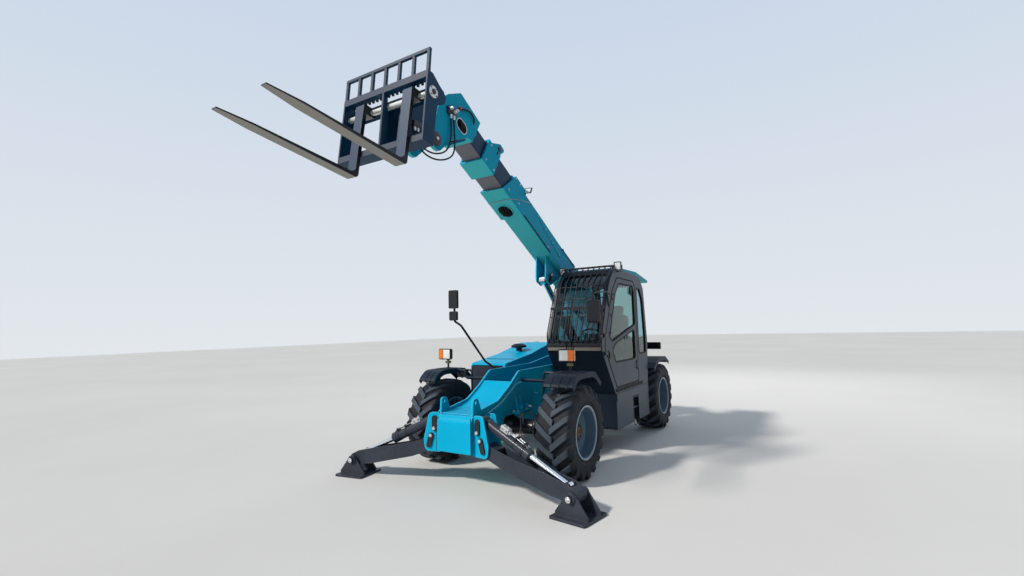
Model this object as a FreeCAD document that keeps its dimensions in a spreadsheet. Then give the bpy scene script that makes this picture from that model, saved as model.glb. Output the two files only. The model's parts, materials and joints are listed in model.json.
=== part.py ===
"""Telehandler with a three-stage boom, pallet forks and two front stabilisers, as a parametric document.

Lengths are millimetres. +X is the machine's left, -Y its front and +Z up. Outlines give their stations
along Y from the front axle, and the placement of each piece adds where that axle lies.
"""
import FreeCAD, Part
import math
import os

from FreeCAD import Placement, Rotation, Vector

document = FreeCAD.newDocument("Telehandler")
sheet = document.addObject("Spreadsheet::Sheet", "Sizes")

# alias, size, what it is
SIZES = (
    ("front_axle", -280, "front axle's place along Y from the origin"),
    ("wheelbase", 3500, "front axle to rear axle"),
    ("tyre_radius", 575, "tyre, over the lugs"),
    ("tyre_width", 460, "tyre section width"),
    ("lug_count", 18, "lugs in each of a tyre's two rows"),
    ("lug_width", 66, "width of a lug"),
    ("lug_lap", 22, "how far a lug's inner end passes the middle of the tread"),
    ("lug_depth", 42, "height of a lug above the casing"),
    ("lug_slant", 38, "degrees between a lug and the wheel's axis"),
    ("rim_radius", 308, "bead seat of the rim"),
    ("wheel_track", 2040, "between the middles of two tyres"),
    ("kingpin_spread", 1440, "between the two kingpins of an axle"),
    ("spindle_radius", 50, "spindle in the wheel hub"),
    ("running_gap", 0.05, "radial clearance of every pin and spindle"),
    ("seat_gap", 0.3, "gap between faces that slide or turn on each other"),
    ("frame_width", 500, "over the two side plates of the frame"),
    ("frame_plate", 25, "side plates and floor of the frame"),
    ("doubler", 12, "plate that stiffens each side plate over the front axle"),
    ("eye_radius", 22, "lifting eyes through both side plates"),
    ("tow_pin_radius", 16, "pin hole of the tow jaw"),
    ("nose_reach", 1049, "front face of the nose box ahead of the front axle"),
    ("nose_height", 839, "top of the nose box"),
    ("belly_height", 420, "underside of the nose box"),
    ("arm_pivot_side", 420, "stabiliser arm's pivot from the middle"),
    ("arm_pivot_ahead", 905, "stabiliser arm's pivot ahead of the front axle"),
    ("foot_pin_height", 204, "stabiliser foot's pin above the ground"),
    ("arm_length", 1210, "stabiliser arm from pivot to foot pin"),
    ("arm_slope", 13, "degrees the resting stabiliser arm falls outwards"),
    ("arm_splay", 8.7, "degrees the stabiliser arm points forwards"),
    ("arm_width", 170, "over the stabiliser arm's side plates"),
    ("arm_plate", 12, "plates of the stabiliser arm"),
    ("ear_gap", 190, "between the two ears that carry a stabiliser arm"),
    ("ear_plate", 20, "one ear of the nose box"),
    ("ram_pivot_in", 80, "stabiliser ram's pivot inboard of the arm's pivot"),
    ("ram_pivot_up", 320, "stabiliser ram's pivot above the arm's pivot"),
    ("ram_eye_along", 1100, "stabiliser rod's eye along the arm"),
    ("ram_eye_above", 50, "stabiliser rod's eye above the arm's line"),
    ("ram_bore", 60, "outer radius of the stabiliser ram's barrel"),
    ("ram_rod", 32, "radius of the stabiliser ram's rod"),
    ("ram_barrel", 740, "stabiliser ram's barrel from its pivot to its gland"),
    ("pin_radius", 30, "pins of the stabilisers"),
    ("pad_side", 420, "side of the stabiliser's square pad"),
    ("pad_plate", 25, "thickness of the stabiliser's pad"),
    ("boom_angle", 29.5, "degrees the boom stands above level at rest"),
    ("boom_pivot_behind", 450, "boom's pivot behind the rear axle"),
    ("boom_pivot_height", 1690, "boom's pivot above the ground"),
    ("boom_pin_radius", 45, "boom's pivot pin"),
    ("outer_width", 354, "outer boom section across"),
    ("outer_depth", 357, "outer boom section from top to bottom"),
    ("outer_wall", 8, "wall of the outer boom section"),
    ("outer_length", 4480, "outer boom section from the pivot to its mouth"),
    ("slide_pad", 160, "length of a slide pad"),
    ("slide_gap", 8, "running gap between boom sections at the slide pads"),
    ("middle_wall", 7, "wall of the middle boom section"),
    ("middle_start", 410, "rear end of the middle section from the pivot"),
    ("middle_end", 5160, "front end of the middle section from the pivot"),
    ("inner_wall", 7, "wall of the inner boom section"),
    ("inner_start", 610, "rear end of the inner section from the pivot"),
    ("inner_end", 5500, "front end of the inner section from the pivot"),
    ("head_start", 5440, "rear edge of the boom's head from the pivot"),
    ("head_width", 420, "boom's head across"),
    ("head_plate", 50, "side plates of the boom's head"),
    ("tilt_pin_along", 5970, "carriage's pivot from the boom's pivot, along the boom"),
    ("tilt_pin_below", 700, "carriage's pivot below the boom's middle line"),
    ("tilt_base_along", 5390, "tilt ram's base pin from the boom's pivot, along the boom"),
    ("tilt_base_above", 40, "tilt ram's base pin above the boom's middle line"),
    ("tilt_eye_ahead", 150, "tilt ram's eye ahead of the carriage's pivot"),
    ("tilt_eye_above", 330, "tilt ram's eye above the carriage's pivot"),
    ("tilt_bore", 50, "outer radius of the tilt ram's barrel"),
    ("tilt_rod", 28, "radius of the tilt ram's rod"),
    ("tilt_barrel", 560, "tilt ram's barrel from its pin to its gland"),
    ("carriage_lean", 8, "degrees the fork blades rise at rest"),
    ("lift_base_ahead", 300, "lift ram's base pin ahead of the rear axle"),
    ("lift_base_height", 860, "lift ram's base pin above the ground"),
    ("lift_eye_along", 2760, "lift ram's eye from the boom's pivot, along the boom"),
    ("lift_eye_below", 480, "lift ram's eye below the boom's middle line"),
    ("lift_bore", 85, "outer radius of the lift ram's barrel"),
    ("lift_rod", 50, "radius of the lift ram's rod"),
    ("lift_barrel", 1560, "lift ram's barrel from its pin to its gland"),
    ("cab_left", 1170, "left face of the cab"),
    ("cab_right", 315, "right face of the cab"),
    ("cab_clearance", 620, "rear axle to the cab's rear face"),
    ("tray_clearance", 800, "rear axle to the engine tray, clear of the steered tyre"),
    ("cab_wall", 40, "thickness of the cab's walls and door"),
    ("glass", 6, "thickness of the window glass"),
    ("hood_inner", -450, "inner face of the engine cover"),
    ("hood_outer", -1100, "outer face of the engine cover"),
    ("sheet_metal", 20, "wall of the engine cover"),
    ("fork_length", 1420, "fork blade"),
    ("fork_width", 125, "fork blade across"),
    ("fork_spread", 700, "between the middles of the two forks"),
    ("fork_shift", 40, "how far both forks stand to the machine's left"),
    ("fork_thickness", 45, "fork blade at its heel"),
    ("carriage_width", 1250, "fork carriage across"),
    ("carriage_plate", 20, "side plates of the fork carriage"),
    ("carriage_top", 360, "top bar of the carriage above its pivot"),
    ("carriage_foot", -400, "bottom bar of the carriage from its pivot"),
    ("guard_top", 615, "top of the load guard above the carriage's pivot"),
    ("shaft_radius", 32, "shaft that the forks hang on"),
    ("shaft_ahead", 536, "fork shaft ahead of the carriage's pivot"),
    ("shaft_above", 159, "fork shaft above the carriage's pivot"),
)
for row, (alias, number, meaning) in enumerate(SIZES, start=1):
    sheet.set("A%d" % row, meaning)
    sheet.set("B%d" % row, str(number))
    sheet.setAlias("B%d" % row, alias)
document.recompute()


def size(alias):
    """The number in the sheet's cell."""
    return float(sheet.get(alias))


def rounded(corners):
    """Edges of a closed outline: corners are (u, v) or (u, v, radius of the round at that corner)."""
    count = len(corners)
    arcs = []
    for index, corner in enumerate(corners):
        here = Vector(corner[0], corner[1], 0)
        radius = corner[2] if len(corner) > 2 else 0
        before = Vector(*corners[index - 1][:2], 0) - here
        after = Vector(*corners[(index + 1) % count][:2], 0) - here
        before.normalize()
        after.normalize()
        half = before.getAngle(after) / 2
        if radius == 0 or abs(half - math.pi / 2) < 1e-4:
            arcs.append((here, here, here))
            continue
        reach = radius / math.tan(half)
        middle = (before + after).normalize()
        crown = here + middle * (radius / math.sin(half) - radius)
        arcs.append((here + before * reach, crown, here + after * reach))
    edges = []
    for index, (start, crown, end) in enumerate(arcs):
        if start.distanceToPoint(end) > 1e-6:
            edges.append(Part.Arc(start, crown, end))
        following = arcs[(index + 1) % count][0]
        if end.distanceToPoint(following) > 1e-6:
            edges.append(Part.LineSegment(end, following))
    return edges


def circle(u, v, radius):
    """One round outline."""
    return [Part.Circle(Vector(u, v, 0), Vector(0, 0, 1), radius)]


class Piece:
    """A PartDesign body whose features are drawn on its own origin planes.

    A side outline lies in Y and Z and is padded along X, a front outline in X and Z and is padded
    along Y, and a top outline in X and Y and is padded along Z.
    """

    PLANES = {"side": "YZ_Plane", "front": "XZ_Plane", "top": "XY_Plane"}

    def __init__(self, label):
        self.body = document.addObject("PartDesign::Body", label)
        self.body.Label = label

    def outline(self, view, edges, start):
        sketch = self.body.newObject("Sketcher::SketchObject", "Outline")
        role = self.PLANES[view]
        plane = next(item for item in self.body.Origin.OriginFeatures if item.Role == role)
        sketch.AttachmentSupport = [(plane, "")]
        sketch.MapMode = "FlatFace"
        along = -1 if view == "front" else 1
        if isinstance(start, str):
            sketch.setExpression("AttachmentOffset.Base.z", "%d * (%s)" % (along, start))
        else:
            sketch.AttachmentOffset = Placement(Vector(0, 0, along * start), Rotation())
        sketch.addGeometry(edges, False)
        return sketch

    def extrude(self, kind, view, edges, start, length, both):
        feature = self.body.newObject(kind, "Step")
        feature.Profile = self.outline(view, edges, start)
        if isinstance(length, str):
            feature.setExpression("Length", length)
        else:
            feature.Length = length
        feature.Midplane = both
        forwards = kind == "PartDesign::Pad"
        feature.Reversed = (view == "front") == forwards
        return feature

    def pad(self, view, edges, start, length, both=False):
        """Material from start over length, or length around start when both."""
        self.extrude("PartDesign::Pad", view, edges, start, length, both)
        return self

    def cut(self, view, edges, start, length, both=False):
        """The same space taken away."""
        self.extrude("PartDesign::Pocket", view, edges, start, length, both)
        return self

    def turn(self, edges, view="front", axis="H_Axis", groove=False):
        """An outline turned about the sketch's own axis."""
        sketch = self.outline(view, edges, 0)
        feature = self.body.newObject("PartDesign::Groove" if groove else "PartDesign::Revolution", "Turned")
        feature.Profile = sketch
        feature.ReferenceAxis = (sketch, [axis])
        feature.Angle = 360
        return self

    def lug(self, way, reach, foot, top, slant, turned):
        """A bar that stands on a wheel's crown, from past the middle out along X, swung by its slant."""
        inner = -size("lug_lap")
        sketch = self.outline("front", rounded([(way * inner, foot), (way * reach, foot), (way * (reach - 14), top),
                                                (way * inner, top)]), 0)
        around = Rotation(Vector(1, 0, 0), turned)
        swing = Rotation(Vector(0, 1, 0), way * slant)
        width = size("lug_width")
        middle = (reach + inner) / 2
        lead = swing.multVec(Vector(-way * middle, 0, 0))
        side = swing.multVec(Vector(0, 0, width / 2))
        start = around.multVec(Vector(side.x, 0, side.z + lead.z))
        sketch.AttachmentOffset = Placement(start, around.multiply(swing))
        feature = self.body.newObject("PartDesign::Pad", "Lug")
        feature.Profile = sketch
        feature.Length = width
        feature.Reversed = True

    def around(self, count):
        """The last feature repeated in a ring about the body's X axis."""
        last = self.body.Tip
        ring = self.body.newObject("PartDesign::PolarPattern", "Ring")
        ring.Originals = [last]
        axis = next(item for item in self.body.Origin.OriginFeatures if item.Role == "X_Axis")
        ring.Axis = (axis, [""])
        ring.Angle = 360
        ring.Occurrences = count
        self.body.Tip = ring
        return self

    def at(self, x=0, y=0, z=0, rotation=None):
        """Where the piece's own origin lies; strings are expressions, y counts from the front axle."""
        place(self.body, x, y, z, rotation)
        return self


def place(item, x=0, y=0, z=0, rotation=None):
    if rotation is not None:
        item.Placement = Placement(Vector(), rotation)
    for letter, where in (("x", x), ("y", y), ("z", z)):
        expression = "(%s)" % where
        if letter == "y":
            expression = "Sizes.front_axle + " + expression
        item.setExpression("Placement.Base." + letter, expression)


nodes = {}


def keep(label, item):
    """Makes an object the sub-part of that name."""
    item = item.body if isinstance(item, Piece) else item
    item.Label = label
    nodes[label] = item


def fused(label, pieces):
    """Several objects as one sub-part."""
    joined = document.addObject("Part::MultiFuse", label)
    joined.Shapes = [piece.body if isinstance(piece, Piece) else piece for piece in pieces]
    keep(label, joined)
    return joined


def grouped(label, pieces):
    """Like objects of one sub-part that don't touch."""
    group = document.addObject("Part::Compound", label)
    group.Links = [piece.body if isinstance(piece, Piece) else piece for piece in pieces]
    keep(label, group)
    return group


def round_bar(start, end, radius):
    direction = end - start
    return Part.makeCylinder(radius, direction.Length, start, direction)


def bent_tube(points, radius, bend):
    """A round bar along straight runs joined by arcs of the bend radius; stations from the front axle."""
    edges = []
    last = points[0]
    for before, here, after in zip(points, points[1:], points[2:]):
        back = (before - here).normalize()
        ahead = (after - here).normalize()
        half = back.getAngle(ahead) / 2
        reach = bend / math.tan(half)
        crown = here + (back + ahead).normalize() * (bend / math.sin(half) - bend)
        edges.append(Part.LineSegment(last, here + back * reach).toShape())
        edges.append(Part.Arc(here + back * reach, crown, here + ahead * reach).toShape())
        last = here + ahead * reach
    edges.append(Part.LineSegment(last, points[-1]).toShape())
    path = Part.Wire(edges)
    profile = Part.Wire(Part.makeCircle(radius, points[0], points[1] - points[0]))
    return path.makePipeShell([profile], True, True)


def made(label, shapes, station=0):
    """A feature that holds shapes made above, placed from the front axle."""
    item = document.addObject("Part::Feature", label)
    item.Shape = shapes[0] if len(shapes) == 1 else Part.makeCompound(shapes)
    place(item, 0, station)
    return item


GAP = size("running_gap")
PIN = size("pin_radius")

# Frame: a channel of two side plates on a floor, arched over both axles, with towers for the boom's pin
WHEELBASE = size("wheelbase")
FRAME_FLOOR = 520
FRAME_ARCH = 745
ARCH_HALF = 330
BOOM_BACK = WHEELBASE + size("boom_pivot_behind")
BOOM_HEIGHT = size("boom_pivot_height")
LIFT_BACK = WHEELBASE - size("lift_base_ahead")
LIFT_HEIGHT = size("lift_base_height")
FRAME_REAR = BOOM_BACK + 280
FRAME_HALF = size("frame_width") / 2
# Middle of the lifting eye, station and height
EYE = (-938, 1000)


def frame_outline(inset):
    """Side plate seen from the left, or the hollow between the plates when inset by a plate."""
    front = -1000 - 4 * inset
    rear = FRAME_REAR - inset
    top = 600 if inset else 0
    return rounded([
        (front, size("belly_height") + inset, 40),
        (-ARCH_HALF - 90, size("belly_height") + inset, 80),
        (-ARCH_HALF, FRAME_ARCH + inset, 60),
        (ARCH_HALF, FRAME_ARCH + inset, 60),
        (ARCH_HALF + 90, FRAME_FLOOR + inset, 60),
        (WHEELBASE - ARCH_HALF - 90, FRAME_FLOOR + inset, 60),
        (WHEELBASE - ARCH_HALF, FRAME_ARCH + inset, 60),
        (WHEELBASE + ARCH_HALF, FRAME_ARCH + inset, 60),
        (WHEELBASE + ARCH_HALF + 80, 640 + inset, 30),
        (rear, 640 + inset, 30),
        (rear, BOOM_HEIGHT - 120 + top, 60),
        (BOOM_BACK + 150, BOOM_HEIGHT + 190 + top, 100),
        (BOOM_BACK - 170, BOOM_HEIGHT + 190 + top, 100),
        (BOOM_BACK - 470, BOOM_HEIGHT - 60 + top, 200),
        (2300, 1440 + top, 200),
        (1200, 1300 + top, 200),
        (60, 1290 + top, 80),
        (-200, 1110 + top, 80),
        (-470, 960 + top, 200),
        (front, 880 + top, 30),
    ])


def chassis_frame():
    frame = Piece("frame_channel")
    frame.pad("side", frame_outline(0), 0, "Sizes.frame_width", True)
    frame.pad("side", rounded([(EYE[0] - 60, 885), (EYE[0] - 48, EYE[1] + 46, 44), (EYE[0] + 46, EYE[1] + 46, 44),
                               (EYE[0] + 105, 900)]), 0, "Sizes.frame_width", True)
    frame.cut("side", frame_outline(size("frame_plate")), 0, "Sizes.frame_width - 2 * Sizes.frame_plate", True)
    for station, height in ((BOOM_BACK, BOOM_HEIGHT), (LIFT_BACK, LIFT_HEIGHT)):
        frame.pad("side", circle(station, height, size("boom_pin_radius")), 0, "Sizes.frame_width + 30", True)
    frame.cut("side", circle(*EYE, size("eye_radius")), 0, 2000, True)
    deck = rounded([(-985, 866), (-640, 890, 400), (-470, 932, 200), (-200, 1082, 80), (-95, 1160), (-85, 1144),
                    (-192, 1062, 80), (-470, 914, 200), (-640, 872, 400), (-985, 852)])
    frame.pad("side", deck, 0, "Sizes.frame_width - 2 * Sizes.frame_plate", True)
    for side in (1, -1):
        frame.pad("side", rounded([(-640, 620, 40), (-640, 850, 30), (-470, 880, 200), (-215, 1020, 80),
                                   (30, 1205, 60), (240, 1205, 60), (420, 1000, 100), (420, 800, 40),
                                   (-380, 800, 60), (-430, 620, 40)]),
                  side * (FRAME_HALF + size("doubler") / 2), "Sizes.doubler", True)
        frame.pad("side", rounded([(-110, FRAME_ARCH), (90, FRAME_ARCH), (90, FRAME_ARCH + 26, 8),
                                   (-110, FRAME_ARCH + 26, 8)]), side * (FRAME_HALF + 45), 90, True)
        frame.pad("side", circle(-10, FRAME_ARCH + 66, 34), side * (FRAME_HALF + 50), 100, True)
        for station in (-70, 30):
            frame.pad("front", rounded([(side * FRAME_HALF, FRAME_ARCH + 20), (side * (FRAME_HALF + 85), FRAME_ARCH + 20),
                                        (side * (FRAME_HALF + 18), 965, 10), (side * FRAME_HALF, 965)]), station, 18)
    frame.at()
    keep("chassis_frame", frame)


def nose_box():
    """The box that closes the frame's front, with two pairs of splayed ears for the stabilisers."""
    front = -size("nose_reach")
    back = -640
    top = size("nose_height")
    box = Piece("nose_shell")
    sill = size("belly_height") + size("frame_plate")
    profile = rounded([(-1030, sill), (back, sill), (back, top + 30), (-1000, top + 10), (-1030, top - 30)])
    box.pad("side", profile, 0, "Sizes.frame_width - 2 * Sizes.frame_plate", True)
    box.pad("side", rounded([(front, size("belly_height"), 20), (-1000, size("belly_height")), (-1000, top + 10),
                             (front, top - 60, 40)]), 0, "Sizes.frame_width", True)
    box.at()
    pieces = [box]
    outline = rounded([(-150, -75, 20), (60, -75, 60), (80, 60, 40), (0, 390, 60), (-150, 390, 60),
                       (-190, 250, 20), (-190, -40, 20)])
    for side in (1, -1):
        for ear in (1, -1):
            plate = Piece("ear")
            middle = ear * (size("ear_gap") + size("ear_plate")) / 2
            plate.pad("front", outline, middle, "Sizes.ear_plate", True)
            stabiliser_place(plate, side)
            pieces.append(plate)
        pins = Piece("ear_pins")
        for across, height in ((0, 0), (-size("ram_pivot_in"), size("ram_pivot_up"))):
            pins.pad("front", circle(across, height, PIN), 0, "Sizes.ear_gap + 2 * Sizes.ear_plate + 30", True)
        stabiliser_place(pins, side)
        pieces.append(pins)
    joined = document.addObject("Part::MultiFuse", "ears")
    joined.Shapes = [piece.body for piece in pieces[1:]]
    between = document.addObject("Part::Box", "between_plates")
    between.setExpression("Length", "Sizes.frame_width")
    between.Width = 2000
    between.Height = 2000
    place(between, "-Sizes.frame_width / 2", "-Sizes.nose_reach - 500")
    trimmed = document.addObject("Part::Cut", "trimmed_ears")
    trimmed.Base = joined
    trimmed.Tool = between
    fused("nose_box", [box, trimmed])


def stabiliser_rotation(side, tilt=0):
    """Turns a piece's own +X to the stabiliser's outward way, then tilts it about its own +Y."""
    splay = -size("arm_splay") if side > 0 else 180 + size("arm_splay")
    return Rotation(Vector(0, 0, 1), splay).multiply(Rotation(Vector(0, 1, 0), tilt))


ARM_SLOPE = math.radians(size("arm_slope"))
ARM_PIVOT_HEIGHT = size("foot_pin_height") + size("arm_length") * math.sin(ARM_SLOPE)
# The ram's two ends in the vertical plane of the arm, outwards and up from the arm's pivot
RAM_BASE = Vector(-size("ram_pivot_in"), 0, size("ram_pivot_up"))
RAM_EYE = Vector(
    size("ram_eye_along") * math.cos(ARM_SLOPE) + size("ram_eye_above") * math.sin(ARM_SLOPE), 0,
    size("ram_eye_above") * math.cos(ARM_SLOPE) - size("ram_eye_along") * math.sin(ARM_SLOPE))
RAM_LENGTH = (RAM_EYE - RAM_BASE).Length
RAM_SLOPE = math.degrees(math.atan2(RAM_BASE.z - RAM_EYE.z, RAM_EYE.x - RAM_BASE.x))


def stabiliser_place(piece, side, offset=Vector(), tilt=0):
    """Puts a piece at an offset from the arm's pivot, measured outwards and up."""
    splay = math.radians(size("arm_splay"))
    item = piece.body if isinstance(piece, Piece) else piece
    item.Placement = Placement(Vector(), stabiliser_rotation(side, tilt))
    place(item, "%d * (Sizes.arm_pivot_side + %f)" % (side, offset.x * math.cos(splay)),
          "-Sizes.arm_pivot_ahead - %f" % (offset.x * math.sin(splay)),
          "%f" % (ARM_PIVOT_HEIGHT + offset.z))


def stabiliser_arm(side, name):
    """A channel, open above, with a boss at each end."""
    length = size("arm_length")
    arm = Piece(name)
    arm.pad("front", rounded([(-65, -65, 64), (300, -100, 200), (950, -95, 200), (length + 62, -60, 58),
                              (length + 62, 60, 58), (length - 90, 95, 60), (850, 90, 100), (400, 70, 200),
                              (-65, 72, 64)]), 0, "Sizes.arm_width", True)
    arm.cut("front", rounded([(150, -88, 40), (length - 40, -80, 20), (length - 40, 200), (150, 200)]),
            0, "Sizes.arm_width - 2 * Sizes.arm_plate", True)
    for along in (0, length):
        arm.cut("front", circle(along, 0, PIN + GAP), 0, 400, True)
    cheek = size("arm_width") / 2 - size("arm_plate")
    for way in (1, -1):
        boss = way * (cheek + 34) / 2
        arm.pad("front", circle(size("ram_eye_along"), size("ram_eye_above"), 34), boss, cheek - 34, True)
    stabiliser_place(arm, side, tilt=size("arm_slope"))
    keep(name, arm)


def stabiliser_foot(side, name):
    """A square pad with two gussets that hold the pin in the arm's end."""
    height = size("foot_pin_height")
    half = size("pad_side") / 2
    pad = size("pad_plate")
    foot = Piece(name)
    foot.pad("top", rounded([(-half, -half, 20), (half, -half, 20), (half, half, 20), (-half, half, 20)]),
             -height, "Sizes.pad_plate")
    gusset = rounded([(-half + 20, pad - height), (half - 20, pad - height), (half - 20, pad - height + 30),
                      (52, 30, 60), (0, 62, 30), (-52, 30, 60), (-half + 20, pad - height + 30)])
    for way in (1, -1):
        foot.pad("front", gusset, way * 115, 20, True)
    foot.pad("front", circle(0, 0, PIN), 0, 340, True)
    arm = Vector(size("arm_length") * math.cos(ARM_SLOPE), 0, -size("arm_length") * math.sin(ARM_SLOPE))
    stabiliser_place(foot, side, arm)
    keep(name, foot)


def stabiliser_ram(side, barrel_name, rod_name):
    barrel_end = size("ram_barrel")
    bore = size("ram_bore")
    rod_hole = size("ram_rod") + GAP
    barrel = Piece(barrel_name)
    barrel.turn([*rounded([(45, 0), (45, 45, 10), (90, bore), (barrel_end - 60, bore), (barrel_end - 60, bore + 6, 2),
                           (barrel_end, bore + 6, 4), (barrel_end, rod_hole), (130, rod_hole), (130, 0)])])
    barrel.pad("front", circle(0, 0, 55), 0, 90, True)
    barrel.cut("front", circle(0, 0, PIN + GAP), 0, 200, True)
    stabiliser_place(barrel, side, RAM_BASE, RAM_SLOPE)
    keep(barrel_name, barrel)
    rod = Piece(rod_name)
    inside = RAM_LENGTH - size("ram_barrel") + 110
    rod.turn(rounded([(-inside, 0), (-inside, size("ram_rod")), (-30, size("ram_rod")), (-30, 0)]))
    rod.pad("front", circle(0, 0, 42), 0, 60, True)
    rod.cut("front", circle(0, 0, 25), 0, 100, True)
    stabiliser_place(rod, side, RAM_EYE, RAM_SLOPE)
    keep(rod_name, rod)


# Axles, knuckles and wheels
KINGPIN = size("kingpin_spread") / 2
HUB_HEIGHT = size("tyre_radius")


def axle(name, station):
    """A drive axle: differential, two arms and the forks that hold the knuckles."""
    casing = Piece("casing")
    casing.turn(rounded([(-580, 0), (-580, 150, 10), (-550, 150, 10), (-520, 90, 20), (-230, 105, 60),
                         (-120, 160, 60), (120, 160, 60), (230, 105, 60), (520, 90, 20), (550, 150, 10),
                         (580, 150, 10), (580, 0)]))
    casing.pad("top", circle(0, -10, 75), 0, FRAME_ARCH - HUB_HEIGHT)
    for side in (1, -1):
        fork = rounded([(side * 540, 60), (side * 540, 185, 20), (side * 770, 185, 15),
                        (side * 770, 148, 10), (side * 620, 148, 40), (side * 600, 60)])
        foot = rounded([(side * 540, -60), (side * 540, -185, 20), (side * 770, -185, 15),
                        (side * 770, -148, 10), (side * 620, -148, 40), (side * 600, -60)])
        casing.pad("front", fork, 0, 110, True)
        casing.pad("front", foot, 0, 110, True)
        casing.pad("top", circle(side * KINGPIN, 0, 32), 110, 60)
        casing.pad("top", circle(side * KINGPIN, 0, 32), -170, 60)
    casing.at(0, station, HUB_HEIGHT)
    keep(name, casing)


def knuckle(name, side, station):
    """The steered casing that turns on the kingpins and carries the spindle."""
    knuckle_body = Piece(name)
    knuckle_body.pad("top", circle(0, 0, 75), 0, 288, True)
    for way in (1, -1):
        knuckle_body.cut("top", circle(0, 0, 32 + GAP), way * 120, 60, True)
    spindle = size("spindle_radius")
    spindle_tip = side * (size("wheel_track") / 2 - KINGPIN - 40)
    knuckle_body.turn(rounded([(0, 0), (0, 60), (side * 70, 115, 20), (side * 150, 140, 20), (side * 190, 140, 10),
                               (side * 190, spindle), (spindle_tip, spindle), (spindle_tip, 0)]))
    knuckle_body.at(side * KINGPIN, station, HUB_HEIGHT)
    keep(name, knuckle_body)


def rim(name, side, station):
    """A pressed wheel with a dished disc and a planetary hub, which clears the knuckle's flange."""
    seat = size("rim_radius")
    half = size("tyre_width") / 2 - 18
    hub = KINGPIN + 200 - size("wheel_track") / 2
    bore = size("spindle_radius") + GAP
    wheel = Piece(name)
    wheel.turn(rounded([(-half, seat + 14), (-half + 16, seat + 12), (-half + 20, seat), (-70, seat - 8),
                        (-50, seat - 28), (50, seat - 28), (70, seat - 8), (half - 20, seat),
                        (half - 16, seat + 12), (half, seat + 14, 5), (half, seat + 2), (half - 12, seat - 12),
                        (70, seat - 20), (40, seat - 40), (20, 200, 30), (20, 130),
                        (70, 130, 10), (90, 110), (100, 60), (100, 0), (-36, 0), (-36, bore),
                        (hub, bore), (hub, 130), (-10, 140), (0, 200), (10, seat - 52),
                        (-50, seat - 40), (-80, seat - 20), (-half + 12, seat - 12), (-half, seat + 4)]))
    turn_out = Rotation(Vector(0, 0, 1), 0 if side > 0 else 180)
    wheel.at(side * size("wheel_track") / 2, station, HUB_HEIGHT, turn_out)
    keep(name, wheel)


def tyre_form():
    """The tyre that all four wheels wear: a casing, and two rows of bar lugs that meet as arrows."""
    seat = size("rim_radius")
    half = size("tyre_width") / 2
    base = size("tyre_radius") - size("lug_depth")
    crown = half - 14
    count = int(size("lug_count"))
    casing = Piece("tyre_form")
    bead = half - 39
    foot = seat + size("seat_gap")
    casing.turn(rounded([(-bead, foot), (-bead, foot + 16), (-half, seat + 90), (-crown, base), (crown, base),
                         (half, seat + 90), (bead, foot + 16), (bead, foot)]))
    slant = size("lug_slant")
    reach = (crown - 4) / math.cos(math.radians(slant)) - size("lug_width") / 2 * math.tan(math.radians(slant))
    for way in (1, -1):
        casing.lug(way, reach, base - 10, size("tyre_radius") - 12, slant, (1 - way) * 90 / count)
        casing.around(count)
    return casing


def tyre(name, form, side, station):
    worn = grouped(name, [form])
    place(worn, side * size("wheel_track") / 2, station, HUB_HEIGHT)


# Cab: a shell of side outline, front at the left. It is drawn with its rear face at this station and placed
# from the rear axle.
CAB_REAR = 2880
CAB_PLACE = "Sizes.wheelbase - Sizes.cab_clearance - %d" % CAB_REAR


def cab_outline(inset):
    """Side outline of the cab, from the sill's front corner clockwise as seen from the left."""
    return rounded([
        (1230 + inset, 880 + inset, 60),
        (770 + inset, 1520 + inset / 2, 60),
        (770 + inset, 1680, 300),
        (1130 + inset, 2480 - inset / 2, 700),
        (1400 + inset, 2740 - inset, 120),
        (2560 - inset / 2, 2690 - inset, 160),
        (2780 - inset, 2500 - inset, 160),
        (CAB_REAR - inset, 1600, 600),
        (2800 - inset, 880 + inset, 40),
    ])


DOOR = [(1300, 960, 50), (880, 1540, 60), (900, 1690, 200), (1250, 2380, 400), (1480, 2600, 80), (2250, 2590, 80),
        (2330, 2500, 60), (2330, 960, 60)]
DOOR_GLASS = [(1080, 1700, 40), (1390, 2350, 200), (1560, 2510, 60), (2200, 2510, 60), (2250, 2400, 60),
              (2250, 1880, 40), (1200, 1640, 60)]
LOW_GLASS = [(1300, 1330, 60), (1180, 1500, 60), (1300, 1600, 60), (2200, 1800, 60), (2200, 1330, 60)]
REAR_SIDE = [(2400, 1400, 60), (2400, 2480, 60), (2560, 2480, 60), (2700, 2300, 100), (2770, 1600, 200),
             (2760, 1400, 60)]
RIGHT_GLASS = [(1000, 1600, 60), (1380, 2350, 200), (1600, 2560, 60), (2520, 2560, 60), (2680, 2400, 100),
               (2760, 1640, 100), (2740, 1560, 60)]


HINGE_STATION = 858
HINGE_LEVELS = (1480, 1730)


def outset(corners, amount):
    """The outline moved outwards by an amount, by the corners' way from the middle."""
    middle_u = sum(corner[0] for corner in corners) / len(corners)
    middle_v = sum(corner[1] for corner in corners) / len(corners)
    moved = []
    for corner in corners:
        way_u = 1 if corner[0] > middle_u else -1
        way_v = 1 if corner[1] > middle_v else -1
        moved.append((corner[0] + way_u * amount, corner[1] + way_v * amount, *corner[2:]))
    return moved


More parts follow.
